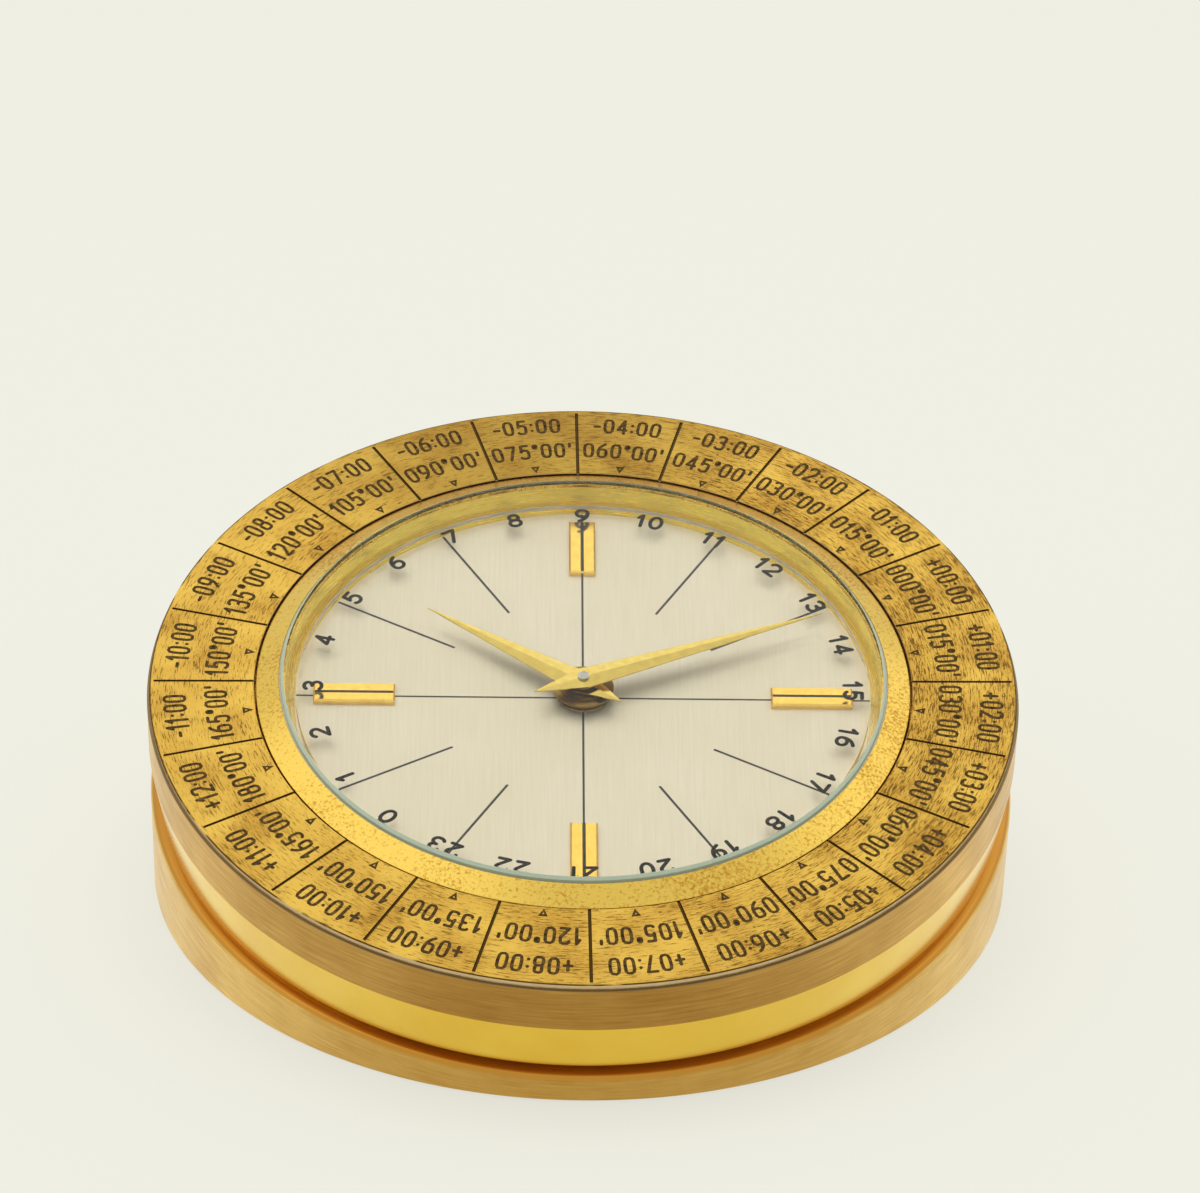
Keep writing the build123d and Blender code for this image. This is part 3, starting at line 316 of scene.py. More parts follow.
case_r = 55.0
slot_nodes = {}
for row in frame["record"]["subparts"]:
    slot_nodes.setdefault(row["material_slot"], []).append(row["node"])
grained_brass = brushed_brass("grained_movement_brass", "#DDB963", "#C09848", 0.32)
repaint(grained_brass, *slot_nodes["wheel_brass"], *slot_nodes["inner_brass"])
repaint(polished_metal("polished_steel", "#B9B6B0", "#98958F", 0.22), *slot_nodes["steel"])
repaint(polished_metal("tempered_spring_steel", "#4C5A78", "#2E3850", 0.28), *slot_nodes["spring_steel"])
repaint(polished_metal("nickelled_screws", "#C9C7C0", "#A5A39C", 0.2), *slot_nodes["screw_steel"])

# The drum.
# A turned brass ring, cut slantwise to stand on the table. Its wall is brushed round and has
# painted shade on its front; its top edge is a small chamfer, painted orange-brown as shade
# under the ring's foot but for a bright outer edge, and a neck above it carries the ring of zones.
axis_depth, rim_lift = 31.8, 0.3
drum_shoulder, drum_chamfer = -16.2, 0.6
ledge_r, ledge_z = 52.4, -15.2
neck_r, neck_top, neck_bore_r = 49.0, -4.0, 43.0
seat_z, seat_t, seat_bore_r, relief_r = -10.1, 2.0, 39.0, 45.0
drum_bore_r, drum_deck = 49.0, -18.2
rebate_r, rebate_top = 52.0, 2.1
below_all = -60.0


def rounded(corners, radius, steps=3, hold=0.12, ends=False):
    """An outline with each corner replaced by a quadratic curve that starts and ends at the
    radius from it, or at 0.3 of the shorter side, and by one point more each side of that,
    which keeps the flats' shading flat. With ends the outline is open and its ends stay."""
    corner = np.asarray(corners, float)
    before = np.roll(corner, 1, 0) - corner
    after = np.roll(corner, -1, 0) - corner
    reach_before = np.linalg.norm(before, axis=1, keepdims=True)
    reach_after = np.linalg.norm(after, axis=1, keepdims=True)
    shorter = np.minimum(reach_before, reach_after)
    cut = np.minimum(shorter * 0.3, radius)
    held = cut + np.minimum(shorter * 0.15, hold)
    start, end = before / reach_before, after / reach_after
    along = np.linspace(0, 1, steps + 1)[None, :, None]
    curve = (corner + start * cut)[:, None] * (1 - along) ** 2 + corner[:, None] * 2 * along * (1 - along)
    curve = curve + (corner + end * cut)[:, None] * along ** 2
    curve = np.concatenate([(corner + start * held)[:, None], curve, (corner + end * held)[:, None]], 1)
    if not ends:
        return curve.reshape(-1, 2)
    return np.concatenate([corner[:1], curve[1:-1].reshape(-1, 2), corner[-1:]])


def turned_points(outline, steps=360):
    """Points of an outline, given as (radius, height), carried round the arbor."""
    angle = np.linspace(0, 2 * math.pi, steps, endpoint=False)[:, None]
    radius, height = outline[:, 0][None, :], outline[:, 1][None, :]
    return np.stack([radius * np.cos(angle), radius * np.sin(angle), height + 0 * angle], -1)


def grid_faces(rows, columns, closed=(True, True)):
    """Quads between the neighbours of a grid, wrapped round where closed says so."""
    row = np.arange(rows if closed[0] else rows - 1)[:, None]
    column = np.arange(columns if closed[1] else columns - 1)[None, :]
    next_row, next_column = (row + 1) % rows, (column + 1) % columns
    near, far = row * columns, next_row * columns
    return np.stack([near + column, near + next_column, far + next_column, far + column], -1).reshape(-1, 4)


def piece(name, parts, sharp=32.0):
    """One object from (points, faces) parts in the clock's frame, its doubles merged, its faces
    turned outwards and its corners over an angle kept sharp."""
    counts = np.cumsum([0] + [len(points.reshape(-1, 3)) for points, faces in parts])
    corners = np.concatenate([points.reshape(-1, 3) for points, faces in parts])
    faces = np.concatenate([faces + start for start, (points, faces) in zip(counts, parts)])
    mesh = bpy.data.meshes.new(name)
    mesh.from_pydata(on_clock(corners).tolist(), [], faces.tolist())
    made = bpy.data.objects.new(name, mesh)
    bpy.context.collection.objects.link(made)
    shape = bmesh.new()
    shape.from_mesh(mesh)
    bmesh.ops.remove_doubles(shape, verts=shape.verts, dist=2e-7)
    bmesh.ops.dissolve_degenerate(shape, edges=shape.edges, dist=1e-8)
    bmesh.ops.recalc_face_normals(shape, faces=shape.faces)
    shape.to_mesh(mesh)
    shape.free()
    mesh.polygons.foreach_set("use_smooth", np.ones(len(mesh.polygons), bool))
    mesh.set_sharp_from_angle(angle=math.radians(sharp))
    return made


def turned_piece(name, outline, sharp=32.0, closed=True):
    """A body of revolution about the arbor from its outline."""
    points = turned_points(outline)
    return piece(name, [(points, grid_faces(*points.shape[:2], (True, closed)))], sharp)


def finish(made, material, body, slot, *nodes):
    """Gives a new piece its material and body, and hides the CAD nodes that it stands for. The slot is not used.
    """
    made.data.materials.append(material)
    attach(made, body)
    if nodes:
        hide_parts(*nodes)


drum_points = turned_points(rounded([
    (case_r, drum_shoulder), (case_r - drum_chamfer, drum_shoulder + drum_chamfer), (ledge_r, ledge_z),
    (neck_r, ledge_z), (neck_r, neck_top), (neck_bore_r, neck_top), (neck_bore_r, seat_z),
    (seat_bore_r, seat_z), (seat_bore_r, seat_z - seat_t), (relief_r, seat_z - 2 * seat_t),
    (relief_r, drum_deck), (drum_bore_r, drum_deck), (drum_bore_r, below_all), (rebate_r, below_all),
    (rebate_r, below_all - rebate_top), (case_r, below_all - rebate_top),
], radius=0.12))
# The corners far below are brought up to two planes parallel to the table: the rim and the rebate.
table_z = -axis_depth - drum_points[..., 1] * math.tan(lean)
rise = np.clip(drum_points[..., 2] - below_all + rebate_top, 0, rebate_top)
level_z = table_z + (rim_lift + rise * (rebate_top - rim_lift) / rebate_top) / math.cos(lean)
halfway_z = (below_all + drum_deck) / 2
drum_points[..., 2] = np.where(drum_points[..., 2] < halfway_z, level_z, drum_points[..., 2])
drum = piece("drum_shell", [(drum_points, grid_faces(*drum_points.shape[:2]))])
# The top step, where orange-brown shade is painted under the ring's foot.
step_inner_r, step_outer_r, step_soft = 53.6, 54.78, 0.06


def facing(tree, place, way):
    """How far a place's heading points one way: 1 straight towards it and -1 away from it."""
    sockets = {0: place.heading, 1: way}
    return add(tree, "ShaderNodeVectorMath", sockets, operation="DOT_PRODUCT").outputs["Value"]


def handled(tree, place):
    """The share of painted shade on the front: none behind and beside, 0.6 in front."""
    return between(tree, facing(tree, place, (0, -1, 0)), 0.6, 0.98, 0, 0.6)


def drum_finish():
    """The drum's brushed brass with painted shade: darker on the front, and orange-brown on its
    top step under the ring's foot, with a bright edge left outside."""
    made = brushed_brass("brushed_drum_brass", "#F0CC78", "#C4984C", 0.32)
    tree = made.node_tree
    place = clock_place(tree)
    # Where the orange-brown shade is painted on the top step.
    step = between(tree, place.radius, step_inner_r - step_soft, step_inner_r)
    step = both_of(tree, step, between(tree, place.radius, step_outer_r + step_soft, step_outer_r))
    step = both_of(tree, step, between(tree, place.height, drum_shoulder, drum_shoulder + step_soft))
    colour = next(one for one in tree.nodes if one.type == "BSDF_PRINCIPLED").inputs["Base Color"]
    # worn here carries painted shade, darker towards the front.
    worn = blended(tree, handled(tree, place), colour.links[0].from_socket, "#9A6810")
    tree.links.new(blended(tree, step, worn, "#C68C3A"), colour)
    return made


drum_brass = drum_finish()
finish(drum, drum_brass, "root", "drum_brass", "wedge_drum")

# The dial.
# A brass disc, silvered and brushed from twelve to six under a clear lacquer that has gone a
# little cream. Its cross and its eight shorter lines are printed in black.
dial_top, dial_hole_r, dial_line_end = -4.0, 2.4, 36.35
ray_start, ray_w, cross_w, print_h = 18.9, 0.32, 0.27, 0.015


def silvered_dial():
    """Silvered brass brushed one way: pale and slightly warm, with hair lines from twelve to
    six and a very faint mottling of age."""
    made, tree, body = shader("silvered_dial", {"Metallic": 0.15})
    point = clock_place(tree).point
    drawn = add(tree, "ShaderNodeMapping", {"Vector": point, "Scale": (3.5, 0.1, 1.0)}).outputs[0]
    hair = noise(tree, drawn, 1.0)
    tone = blended(tree, between(tree, hair, 0.3, 0.7), "#EBE1CB", "#E5DBC3")
    mottle = between(tree, noise(tree, point, 0.06, 4.0), 0.4, 0.8, 0, 0.5)
    wire(
        tree, body,
        colour=blended(tree, mottle, tone, "#DFD0AC"),
        roughness=between(tree, hair, 0.3, 0.7, 0.44, 0.54),
        bump=relief(tree, hair, 0.004, 0.4),
    )
    return made


repaint(silvered_dial(), "dial_plate")


def bar_part(inner, outer, width, bearing, low, high):
    """A straight flat bar along a bearing clockwise from twelve, as a closed box."""
    along = np.array([math.sin(bearing), math.cos(bearing), 0])
    beside = np.array([along[1], -along[0], 0])
    reach, side, level = np.meshgrid([inner, outer], [-0.5, 0.5], [low, high], indexing="ij")
    points = [flat[..., None] for flat in (reach, side * width, level)]
    points = points[0] * along + points[1] * beside + points[2] * np.array([0, 0, 1])
    faces = [(0, 1, 3, 2), (4, 5, 7, 6), (0, 1, 5, 4), (2, 3, 7, 6), (0, 2, 6, 4), (1, 3, 7, 5)]
    return points, np.array(faces)


def printing_ink(name, colour, thin):
    """Black pad-printed ink: a matt film, a little uneven in its density."""
    made, tree, body = shader(name, {"Roughness": 0.6, "Specular IOR Level": 0.15})
    film = noise(tree, clock_place(tree).point, 2.0, 2.0)
    wire(tree, body, colour=blended(tree, between(tree, film, 0.4, 0.8), colour, thin))
    return made


ink = printing_ink("dial_ink", "#1C150A", "#33291A")
line_start = [ray_start if hour % 3 else dial_hole_r for hour in range(12)]
line_width = [ray_w if hour % 3 else cross_w for hour in range(12)]
dial_lines = piece("dial_lines", [
    bar_part(start, dial_line_end, width, hour * math.pi / 6, dial_top, dial_top + print_h)
    for hour, (start, width) in enumerate(zip(line_start, line_width))
])
finish(dial_lines, ink, "root", "dial_silver")

# The hour bars.
# Four bars of gold-plated brass stand on the dial at the quarters, bevelled and polished, each
# with a black line down its middle that carries the dial's cross over it.
bar_inner_r, bar_len, bar_h = 23.8, 10.3, 0.75
bar_line_w, bar_line_inset = 0.42, 0.2
repaint(polished_metal("bar_gold", "#F8D062", "#EEC04E", 0.2), "hour_bars")
bar_line_ends = bar_inner_r + bar_line_inset, bar_inner_r + bar_len - bar_line_inset
bar_top = dial_top + bar_h
bar_lines = piece("bar_lines", [
    bar_part(*bar_line_ends, bar_line_w, quarter * math.pi / 2, bar_top - print_h, bar_top + print_h)
    for quarter in range(4)
])
finish(bar_lines, ink, "root", "hand_gold")

# The day disc.
# A clear acrylic disc that creeps backwards once a day over the dial. The day's hours are
# printed near its edge in black, tops outwards, and throw soft shadows on the dial.
disc_r, disc_under, disc_top, disc_bore_r = 36.3, -2.95, -1.75, 2.8
disc_skin, acrylic_ior = 0.07, 1.49
hour_count = 24
number_r, number_h, number_w, number_thick, number_gap = 34.15, 2.7, 1.95, 0.5, 0.45
shown_at_twelve = 9


def clear_pane(name, ior):
    """A clear polished sheet that bends what is behind it, bloomed so that it mirrors little,
    and lets the lamps through to what it covers."""
    made, tree, body = shader(name, {
        "Base Color": linear("#FFFFFD"), "Roughness": 0.0, "IOR": ior, "Transmission Weight": 1.0,
        "Specular Tint": linear("#000000"),
    })
    shadow = add(tree, "ShaderNodeLightPath").outputs["Is Shadow Ray"]
    open_way = add(tree, "ShaderNodeBsdfTransparent", {"Color": linear("#FFFFFF")}).outputs[0]
    mixed = add(tree, "ShaderNodeMixShader", {0: shadow, 1: body.outputs[0], 2: open_way}).outputs[0]
    surface = next(one for one in tree.nodes if one.type == "OUTPUT_MATERIAL").inputs["Surface"]
    tree.links.new(mixed, surface)
    return made


disc_outline = [
    (disc_bore_r, disc_under), (disc_r, disc_under), (disc_r, disc_top), (disc_bore_r, disc_top),
]
day_disc = turned_piece("day_pane", rounded(disc_outline, radius=0.05))
finish(day_disc, clear_pane("clear_acrylic", acrylic_ior), "day_train", "disc_clear", "day_disc")


def milky_rim(made, material, radius, middle_height):
    """Gives the faces of a pane beyond a radius another material: its edge, left as turned."""
    made.data.materials.append(material)
    middle = on_clock([0, 0, middle_height])
    for face in made.data.polygons:
        if np.linalg.norm(np.array(face.center) - middle) > radius * mm:
            face.material_index = 1


def turned_acrylic():
    """Acrylic as the lathe leaves it: milky, and half of the light goes through."""
    sockets = {"Roughness": 0.5, "IOR": acrylic_ior, "Transmission Weight": 0.4}
    made, tree, body = shader("turned_acrylic_edge", sockets)
    haze = noise(tree, clock_place(tree).point, 3.0, 4.0)
    wire(tree, body, colour=blended(tree, haze, "#FFF8E4", "#F6ECD2"))
    return made


milky_rim(day_disc, turned_acrylic(), disc_r - disc_skin, (disc_under + disc_top) / 2)


def bow(middle, reach, start, end, square, count):
    """Points of an arc of an ellipse, by its middle and half-sizes. A square over 2 fills the
    ellipse's corners, which makes it a superellipse."""
    angle = np.radians(np.linspace(start, end, count))
    way = np.stack([np.cos(angle), np.sin(angle)], -1)
    return np.array(middle) + np.array(reach) * np.sign(way) * np.abs(way) ** (2 / square)


def bend(start, pull, end, count):
    """Points of a quadratic curve from a start towards a pull to an end."""
    along = np.linspace(0, 1, count)[:, None]
    start, pull, end = np.array(start), np.array(pull), np.array(end)
    return start * (1 - along) ** 2 + pull * 2 * along * (1 - along) + end * along ** 2


def strokes_of(square, count):
    """The pen's strokes for each figure, in a box one wide and one high."""
    def loop(middle, reach, start, end):
        return bow(middle, reach, start, end, square, count)

    six = [loop((0.5, 0.3), (0.5, 0.3), 0, 360), bend((0.8, 1.0), (0.02, 0.8), (0.0, 0.3), count)]
    return {
        "0": [loop((0.5, 0.5), (0.5, 0.5), 0, 360)],
        "1": [[(0.0, 0.74), (0.7, 1.0)], [(0.7, 1.0), (0.7, 0.0)]],
        "2": [
            loop((0.5, 0.71), (0.48, 0.29), 165, -32), [(0.9, 0.55), (0.02, 0.0)],
            [(0.02, 0.0), (1.0, 0.0)],
        ],
        "3": [loop((0.48, 0.77), (0.44, 0.23), 150, -90), loop((0.48, 0.27), (0.5, 0.27), 90, -150)],
        "4": [[(0.74, 0.0), (0.74, 1.0)], [(0.74, 1.0), (0.0, 0.26)], [(0.0, 0.26), (1.0, 0.26)]],
        "5": [
            [(0.9, 1.0), (0.18, 1.0)], [(0.18, 1.0), (0.1, 0.52)],
            loop((0.47, 0.32), (0.5, 0.32), 135, -145),
        ],
        "6": six,
        "7": [[(0.0, 1.0), (1.0, 1.0)], [(1.0, 1.0), (0.35, 0.0)]],
        "8": [loop((0.5, 0.76), (0.4, 0.24), 0, 360), loop((0.5, 0.27), (0.5, 0.27), 0, 360)],
        "9": [1 - stroke for stroke in six],
        "+": [[(0.0, 0.45), (1.0, 0.45)], [(0.5, 0.15), (0.5, 0.75)]],
        "-": [[(0.0, 0.45), (1.0, 0.45)]],
        ":": [[(0.5, 0.18), (0.5, 0.2)], [(0.5, 0.66), (0.5, 0.68)]],
        "\u00b0": [loop((0.5, 0.87), (0.5, 0.13), 0, 360)],
        "'": [[(0.5, 0.78), (0.5, 1.0)]],
    }


# The width of a figure that isn't full, as a share of a full one's.
glyph_shares = {"1": 0.5, ":": 0.1, "\u00b0": 0.34, "'": 0.1, "+": 0.85, "-": 0.6}


def ribbon(stroke, thick, cap=3):
    """A pen stroke of even thickness with round ends, as a closed strip one unit deep: its
    middle line is lengthened at both ends by half circles, whose half-width is a cosine."""
    line = np.asarray(stroke, float)
    way = np.gradient(line, axis=0)
    way = way / np.linalg.norm(way, axis=1, keepdims=True)
    turn = np.linspace(math.pi / 2, 0, cap + 1)[:-1]
    reach = np.sin(turn)[:, None] * thick / 2
    middle = np.concatenate([line[0] - way[0] * reach, line, line[-1] + way[-1] * reach[::-1]])
    way = np.concatenate([np.repeat(way[:1], cap, 0), way, np.repeat(way[-1:], cap, 0)])
    half = np.concatenate([np.cos(turn), np.ones(len(line)), np.cos(turn[::-1])])[:, None] * thick / 2
    side = np.stack([-way[:, 1], way[:, 0]], -1) * half
    rings = [(middle + side, 0.5), (middle - side, 0.5), (middle - side, -0.5), (middle + side, -0.5)]
    return np.stack([np.concatenate([flat, np.full((len(flat), 1), level)], 1) for flat, level in rings], 1)


def on_arc(points, radius, bearing, low, high):
    """Bends flat work round the arbor: x becomes the way round at the radius, y the way out,
    and depth the height between low and high. The bearing is clockwise from twelve."""
    angle = math.pi / 2 - bearing - points[..., 0] / radius
    reach = radius + points[..., 1]
    height = low + (points[..., 2] + 0.5) * (high - low)
    return np.stack([reach * np.cos(angle), reach * np.sin(angle), height], -1)


layer_rise = 0.002


def lettering(text, pen, size, thick, gap, radius, bearing, low, high):
    """The strips of a line of figures round an arc, centred on a bearing. The size is a full
    figure's width and height; each stroke's top is a hair over the one before."""
    width, height = size
    widths = [glyph_shares.get(glyph, 1.0) * (width - thick) for glyph in text]
    start = -(sum(widths) + (gap + thick) * (len(text) - 1)) / 2
    strips = []
    for glyph, wide in zip(text, widths):
        for layer, stroke in enumerate(pen[glyph]):
            line = np.asarray(stroke, float) * [wide, height - thick] + [start, (thick - height) / 2]
            points = on_arc(ribbon(line, thick), radius, bearing, low, high + layer * layer_rise)
            strips.append((points, grid_faces(*points.shape[:2], (False, True))))
        start += wide + thick + gap
    return strips


round_pen = strokes_of(2.1, 24)
number_size = number_w, number_h
day_numbers = piece("day_numbers", [
    strip for hour in range(hour_count)
    for strip in lettering(
        str(hour), round_pen, number_size, number_thick, number_gap, number_r,
        (hour - shown_at_twelve) * 2 * math.pi / hour_count, disc_top, disc_top + print_h,
    )
])
finish(day_numbers, printing_ink("number_ink", "#15110A", "#2B2418"), "day_train", "disc_clear")
aged_hub = brushed_brass("aged_hub_brass", "#A88A3E", "#5E4418", 0.3, 0.2)
repaint(aged_hub, "disc_hub", "hub_washer", "day_wheel", "hour_wheel")

# The hands.
# Two gold-plated dauphine hands, pressed in four planes and polished, on pipes round a pin of
# bright steel.
repaint(polished_metal("hand_gold", "#E2C870", "#D8BC60", 0.14), "hour_hand", "minute_hand")

# The wall round the dial.
# A spun brass cone from the glass down to the dial, satin inside, which takes up the dial's
# light.
wall_foot_r, wall_top_r, wall_out_r, foot_r = 36.45, 37.6, 39.4, 40.9
foot_t, ledge_under = 0.5, 0.2
wall_corners = [
    (wall_foot_r, dial_top), (foot_r, dial_top), (foot_r, dial_top + foot_t),
    (wall_out_r, dial_top + foot_t), (wall_out_r, ledge_under), (wall_top_r, ledge_under),
]
wall_cone = turned_piece("wall_cone", rounded(wall_corners, radius=0.05))
wall_brass = brushed_brass("wall_brass", "#FFE460", "#FFD84C", 0.24, stain=0.05, depth=0.002, metal=0.55)
finish(wall_cone, wall_brass, "root", "bezel_brass", "dial_wall")

# The crystal.
# Flat mineral glass with a ground bevel that stands just proud of the bezel, on a thin nylon
# gasket. Through its edge the glass looks green.
crystal_r, crystal_under, crystal_top, crystal_bevel = 38.15, 0.7, 1.8, 0.35
glass_ior = 1.52
crystal_outline = rounded([
    (0, crystal_under), (crystal_r, crystal_under), (crystal_r, crystal_top - crystal_bevel),
    (crystal_r - crystal_bevel, crystal_top), (0, crystal_top),
], radius=0.03, steps=2, ends=True)
crystal = turned_piece("crystal_pane", crystal_outline, closed=False)
finish(crystal, clear_pane("mineral_glass", glass_ior), "root", "crystal_glass", "crystal")


def ground_edge():
    """Ground glass: its fine grit scatters the light, milky with the green of the sheet."""
    made, tree, body = shader("ground_glass_edge", {"Roughness": 0.45})
    grit = noise(tree, clock_place(tree).point, 3.0, 4.0)
    wire(tree, body, colour=blended(tree, grit, "#CEDCC4", "#B9CBB2"), bump=relief(tree, grit, 0.01, 0.5))
    return made


milky_rim(crystal, ground_edge(), crystal_r - crystal_bevel, crystal_top)


def moulded_nylon():
    """Moulded nylon: milky, with a fine mould grain."""
    made, tree, body = shader("nylon_gasket", {"Roughness": 0.5})
    grain = noise(tree, clock_place(tree).point, 2.5, 4.0)
    wire(tree, body, colour=blended(tree, grain, "#DAD6C4", "#C6C2B0"), bump=relief(tree, grain, 0.02, 0.5))
    return made


repaint(moulded_nylon(), "crystal_gasket")

# The bezel.
# A coned brass ring with a flange under the ring of zones. It is polished, and fine brown
# specks have come through its lacquer.
bezel_r, bezel_sink, lip_r, bezel_rise = 41.3, 0.2, 38.4, 1.25
flange_top, flange_r, bezel_fit = -2.9, 48.6, 0.1
bezel_corners = [
    (wall_top_r, ledge_under), (wall_top_r, crystal_under), (lip_r, crystal_under), (lip_r, bezel_rise),
    (bezel_r, -bezel_sink), (bezel_r, flange_top), (flange_r, flange_top), (flange_r, dial_top),
    (foot_r + bezel_fit, dial_top), (foot_r + bezel_fit, dial_top + foot_t),
    (wall_out_r + bezel_fit, dial_top + foot_t), (wall_out_r + bezel_fit, ledge_under),
]
bezel = turned_piece("bezel_ring", rounded(bezel_corners, radius=0.1))


def speckled_brass():
    """Polished brass whose lacquer has begun to fail: bright metal, small brown pits in
    clusters, and a slightly uneven surface that breaks up what it mirrors."""
    made, tree, body = shader("speckled_brass", {"Metallic": 1.0})
    point = clock_place(tree).point
    fine = noise(tree, point, 2.4, 4.0, 0.7)
    cluster = between(tree, noise(tree, point, 0.07, 2.0), 0.35, 0.65, -0.06, 0.06)
    mark = between(tree, added(tree, fine, cluster), 0.5, 0.68)
    wire(
        tree, body,
        colour=blended(tree, mark, "#ECC860", "#C08A30"),
        roughness=between(tree, mark, 0, 1, 0.22, 0.45),
        bump=relief(tree, fine, 0.03, 0.5),
    )
    return made


finish(bezel, speckled_brass(), "root", "bezel_brass", "glass_bezel")

# The ring of zones.
# A deep brass ring that turns on the drum's neck. Its upper band is brushed, the taper under it
# is polished and bright, and its foot is undercut over a dark parting groove.
ring_bore_r, web_bore_r = 49.05, 41.6
plate_t, web_under = 0.8, -2.6
band_foot, taper_foot, taper_r = -7.15, -14.4, 53.85
groove_r, ring_under = 52.3, -14.9
seam_depth, border_soft = 0.08, 0.05
ring_corners = [
    (web_bore_r, web_under), (ring_bore_r, web_under), (ring_bore_r, ring_under), (groove_r, ring_under),
    (taper_r, taper_foot), (case_r, band_foot), (case_r, -plate_t), (web_bore_r, -plate_t),
]
zone_ring = turned_piece("zone_ring_body", rounded(ring_corners, radius=0.1), sharp=6.0)


def ring_brass():
    """Lacquered brass in two finishes, divided by the band's lower edge: brushed on the upright band,
    polished with a few black pits on the taper, and both darkened on the front by painted shade.
    Painted shade lies grey-brown in the step where the plate sits."""
    made, tree, body = shader("ring_brass", {"Metallic": 1.0})
    place = clock_place(tree)
    polish = between(tree, place.height, band_foot + border_soft, band_foot - border_soft)
    streak = round_grain(tree, place, 0.25, 7.0)
    stain = noise(tree, place.point, 0.07, 6.0, 0.6)
    # Painted shade, darker on the front, over the band and the taper.
    side_shade = handled(tree, place)
    band = blended(tree, between(tree, added(tree, streak, stain), 0.7, 1.4), "#E8BE6A", "#B4883E")
    band = blended(tree, side_shade, band, "#784800")
    taper = blended(tree, between(tree, stain, 0.35, 0.75), "#F6D566", "#E8BE50")
    taper = blended(tree, side_shade, taper, "#D0A81E")
    pitted = between(tree, noise(tree, place.point, 0.9, 4.0, 0.8), 0.7, 0.76)
    # Painted shade, grey-brown, on the ring's step just under the plate.
    seam_foot = -plate_t - seam_depth
    seam_shade = between(tree, place.height, seam_foot, seam_foot + border_soft)
    colour = blended(tree, pitted, blended(tree, polish, band, taper), "#6A4A18")
    colour = blended(tree, seam_shade, colour, "#8C7858")
    rough = {0: polish, 2: between(tree, streak, 0.3, 0.7, 0.28, 0.4), 3: 0.2}
    share = between(tree, polish, 0, 1, 1.0, 0.1)
    wire(
        tree, body,
        colour=colour,
        roughness=add(tree, "ShaderNodeMix", rough, data_type="FLOAT").outputs[0],
        bump=relief(tree, both_of(tree, streak, share), 0.012, 0.6),
    )
    return made


finish(zone_ring, ring_brass(), "zone_dial", "ring_brass", "zone_ring")

# The zone plate.
# A flat brass washer on the ring. Twenty-four cells are divided by engraved lines filled with
# black, and the turned face has darkened in its own scratches.
plate_bore_r, plate_r, plate_edge = 41.55, 54.7, 0.08
line_end_r, line_end_slope, line_w, line_depth = 54.2, 0.1, 0.42, 0.16
paint_top, paint_soft, bore_rim = -0.03, 0.03, 0.03
# The width, softness and depth of a broken line of painted shade along the plate's outer edge, where it meets the
# ring.
edge_shade_w, edge_shade_soft, edge_shade_h = 0.22, 0.06, 0.02
cell_count, cell_steps = 24, 12
ring_turn = math.radians(0.75)
cell_turn = 2 * math.pi / cell_count


def plate_points():
    """The plate's section carried round: radius by columns, angle by rows, where the rows beside
    a cell line keep their distance in mm from it and drop to the groove's depth."""
    fall = np.array([-0.62, -0.5, -0.32, 0.32, 0.5, 0.62]) * line_w
    drop = np.array([0, 0, 1, 1, 0, 0]) * line_depth
    rest = np.linspace(0, 1, cell_steps + 2)[1:-1]
    offset = np.concatenate([fall, 0 * rest])
    share = np.concatenate([0 * fall, rest])
    groove = np.concatenate([drop, 0 * rest])
    rim = plate_r - plate_edge
    flat = np.linspace(plate_bore_r + plate_edge, line_end_r - line_end_slope, 6)
    radius = np.array([plate_bore_r, plate_bore_r, *flat, line_end_r, rim, plate_r, plate_r])
    height = np.array([-plate_t, -plate_edge, *(0 * flat), 0, 0, -plate_edge, -plate_t])
    engraved = np.array([0, 1, *(0 * flat + 1), 0, 0, 0, 0])
    cell = np.arange(cell_count)[:, None, None] * cell_turn
    angle = cell + share[None, :, None] * cell_turn + offset[None, :, None] / radius[None, None, :]
    angle = angle.reshape(-1, len(radius)) + math.pi / 2 + ring_turn
    sink = np.tile(groove, cell_count)[:, None] * engraved[None, :]
    return np.stack([radius * np.cos(angle), radius * np.sin(angle), height - sink], -1)


plate_grid = plate_points()
zone_plate = piece("zone_plate_face", [(plate_grid, grid_faces(*plate_grid.shape[:2]))], sharp=25.0)


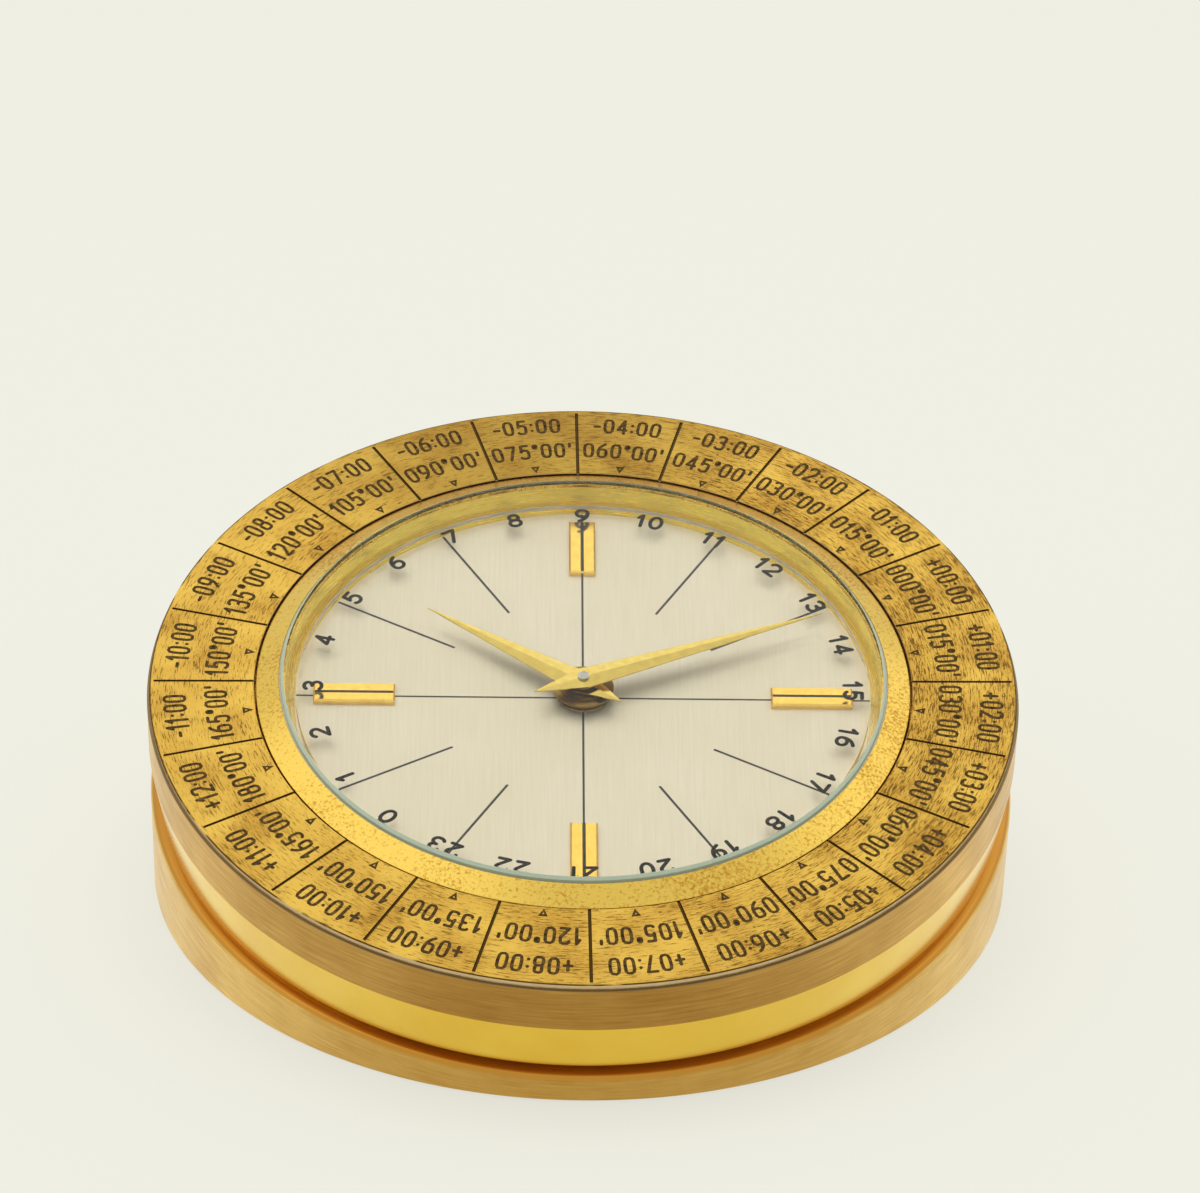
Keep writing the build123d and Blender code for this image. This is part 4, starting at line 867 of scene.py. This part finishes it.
def plate_brass():
    """Brass faced on the lathe and left to age: golden metal with painted shade darker towards twelve,
    dark scratches that run round it in short runs, more of them and a darker tone towards three
    o'clock, fine pits, a broken line of painted shade along the outer edge, and black paint in the
    engraving."""
    made, tree, body = shader("plate_brass", {"Metallic": 1.0})
    place = clock_place(tree)
    scratch = round_grain(tree, place, 0.15, 1.7, 3.0, 0.7)
    patch = noise(tree, place.point, 0.13, 4.0)
    # turned darkens the tone and adds scratches towards three o'clock.
    turned = between(tree, facing(tree, place, (0.99, 0.1, 0)), -0.2, 1, -0.01, 0.035)
    # Painted shade, darker towards twelve.
    side_shade = between(tree, facing(tree, place, (-0.17, 0.985, 0)), 0.75, 1.0, 0, 0.45)
    age = added(tree, between(tree, patch, 0.3, 0.7, -0.04, 0.04), turned)
    worn = between(tree, added(tree, scratch, age), 0.53, 0.63)
    dots = between(tree, added(tree, noise(tree, place.point, 2.2, 3.0, 0.7), age), 0.64, 0.72)
    gold = blended(tree, between(tree, added(tree, patch, turned), 0.35, 0.75), "#DEB652", "#BC8C36")
    gold = blended(tree, side_shade, gold, "#5A4116")
    aged = blended(tree, dots, blended(tree, worn, gold, "#7C5C24"), "#5A4116")
    face = between(tree, place.radius, line_end_r + line_end_slope, line_end_r)
    bore_r = plate_bore_r + bore_rim
    face = both_of(tree, face, between(tree, place.radius, bore_r, bore_r + paint_soft))
    deep = between(tree, place.height, paint_top, paint_top - paint_soft)
    # A broken line of painted shade along the outer edge, where the plate meets the ring.
    edge_shade_r = plate_r - edge_shade_w
    edge = between(tree, place.radius, edge_shade_r, edge_shade_r + edge_shade_soft)
    edge = both_of(tree, edge, between(tree, patch, 0.36, 0.44))
    edge = both_of(tree, edge, between(tree, place.height, -plate_edge - edge_shade_h, -plate_edge))
    rim = blended(tree, edge, blended(tree, deep, aged, "#C8B088"), "#5E4216")
    wire(
        tree, body,
        colour=blended(tree, both_of(tree, deep, face), rim, "#4A3614"),
        roughness=between(tree, worn, 0, 1, 0.3, 0.5),
        bump=relief(tree, scratch, 0.02, 0.6),
    )
    return made


finish(zone_plate, plate_brass(), "zone_dial", "plate_brass", "zone_plate")

# The marks of the zones.
# Figures stamped in the plate and filled with black enamel: the zone's offset outside, its
# meridian inside, and a small hollow pointer to the day's hours at the middle of each cell.
offset_r, meridian_r = 51.55, 46.35
mark_size, mark_thick, mark_gap = (1.5, 3.05), 0.42, 0.3
first_offset, last_west, zone_degrees = -4, 11, 15
ink_proud, ink_sunk = 0.02, 0.05
pointer_r, pointer_h, pointer_w, pointer_wall = 42.5, 1.35, 1.15, 0.36
stamp_pen = strokes_of(3.2, 12)


def pointer(bearing):
    """A hollow triangle with its point inwards: three corners on four rings."""
    outer = np.array([(0.0, -0.5), (0.5, 0.5), (-0.5, 0.5)]) * [pointer_w, pointer_h]
    inner = outer.mean(0) + (outer - outer.mean(0)) * (1 - 2 * pointer_wall)
    rings = [(outer, -0.5), (outer, 0.5), (inner, 0.5), (inner, -0.5)]
    points = np.stack([np.column_stack([ring, np.full(3, level)]) for ring, level in rings])
    return on_arc(points, pointer_r, bearing, -ink_sunk, ink_proud), grid_faces(4, 3)


marks = []
for cell in range(cell_count):
    bearing = (cell + 0.5) * cell_turn - ring_turn
    hours = (first_offset + cell + last_west) % cell_count - last_west
    rows = (f"{hours:+03d}:00", offset_r), (f"{abs(hours) * zone_degrees:03d}\u00b000'", meridian_r)
    for text, radius in rows:
        marks += lettering(
            text, stamp_pen, mark_size, mark_thick, mark_gap, radius, bearing, -ink_sunk, ink_proud,
        )
    marks.append(pointer(bearing))
zone_marks = piece("zone_marks", marks)


def stamped_enamel():
    """Black enamel rubbed into stamped figures: dull, and brown where the metal shows through."""
    made, tree, body = shader("stamped_enamel", {"Roughness": 0.7, "Specular IOR Level": 0.15})
    thin = noise(tree, clock_place(tree).point, 1.7)
    wire(tree, body, colour=blended(tree, between(tree, thin, 0.45, 0.75), "#443212", "#765A28"))
    return made


finish(zone_marks, stamped_enamel(), "zone_dial", "plate_brass")

# The underside.
# A brass base plate on three pads of green felt, a spun well for the fingers, and in it the
# fluted setting knob and the winding key.
repaint(drum_brass, "base_plate", "winding_well")
repaint(brushed_brass("knob_brass", "#DFB764", "#B68C3E", 0.28, 0.2), "setting_knob", "winding_key")


def pressed_felt():
    """Dense wool felt: matt green, with fibres a few tenths of a millimetre apart."""
    made, tree, body = shader("green_felt", {"Roughness": 0.95})
    fibre = noise(tree, clock_place(tree).point, 4.0, 5.0)
    wire(tree, body, colour=blended(tree, fibre, "#2C5239", "#14301D"), bump=relief(tree, fibre, 0.08, 0.8))
    return made


repaint(pressed_felt(), "foot_pads")
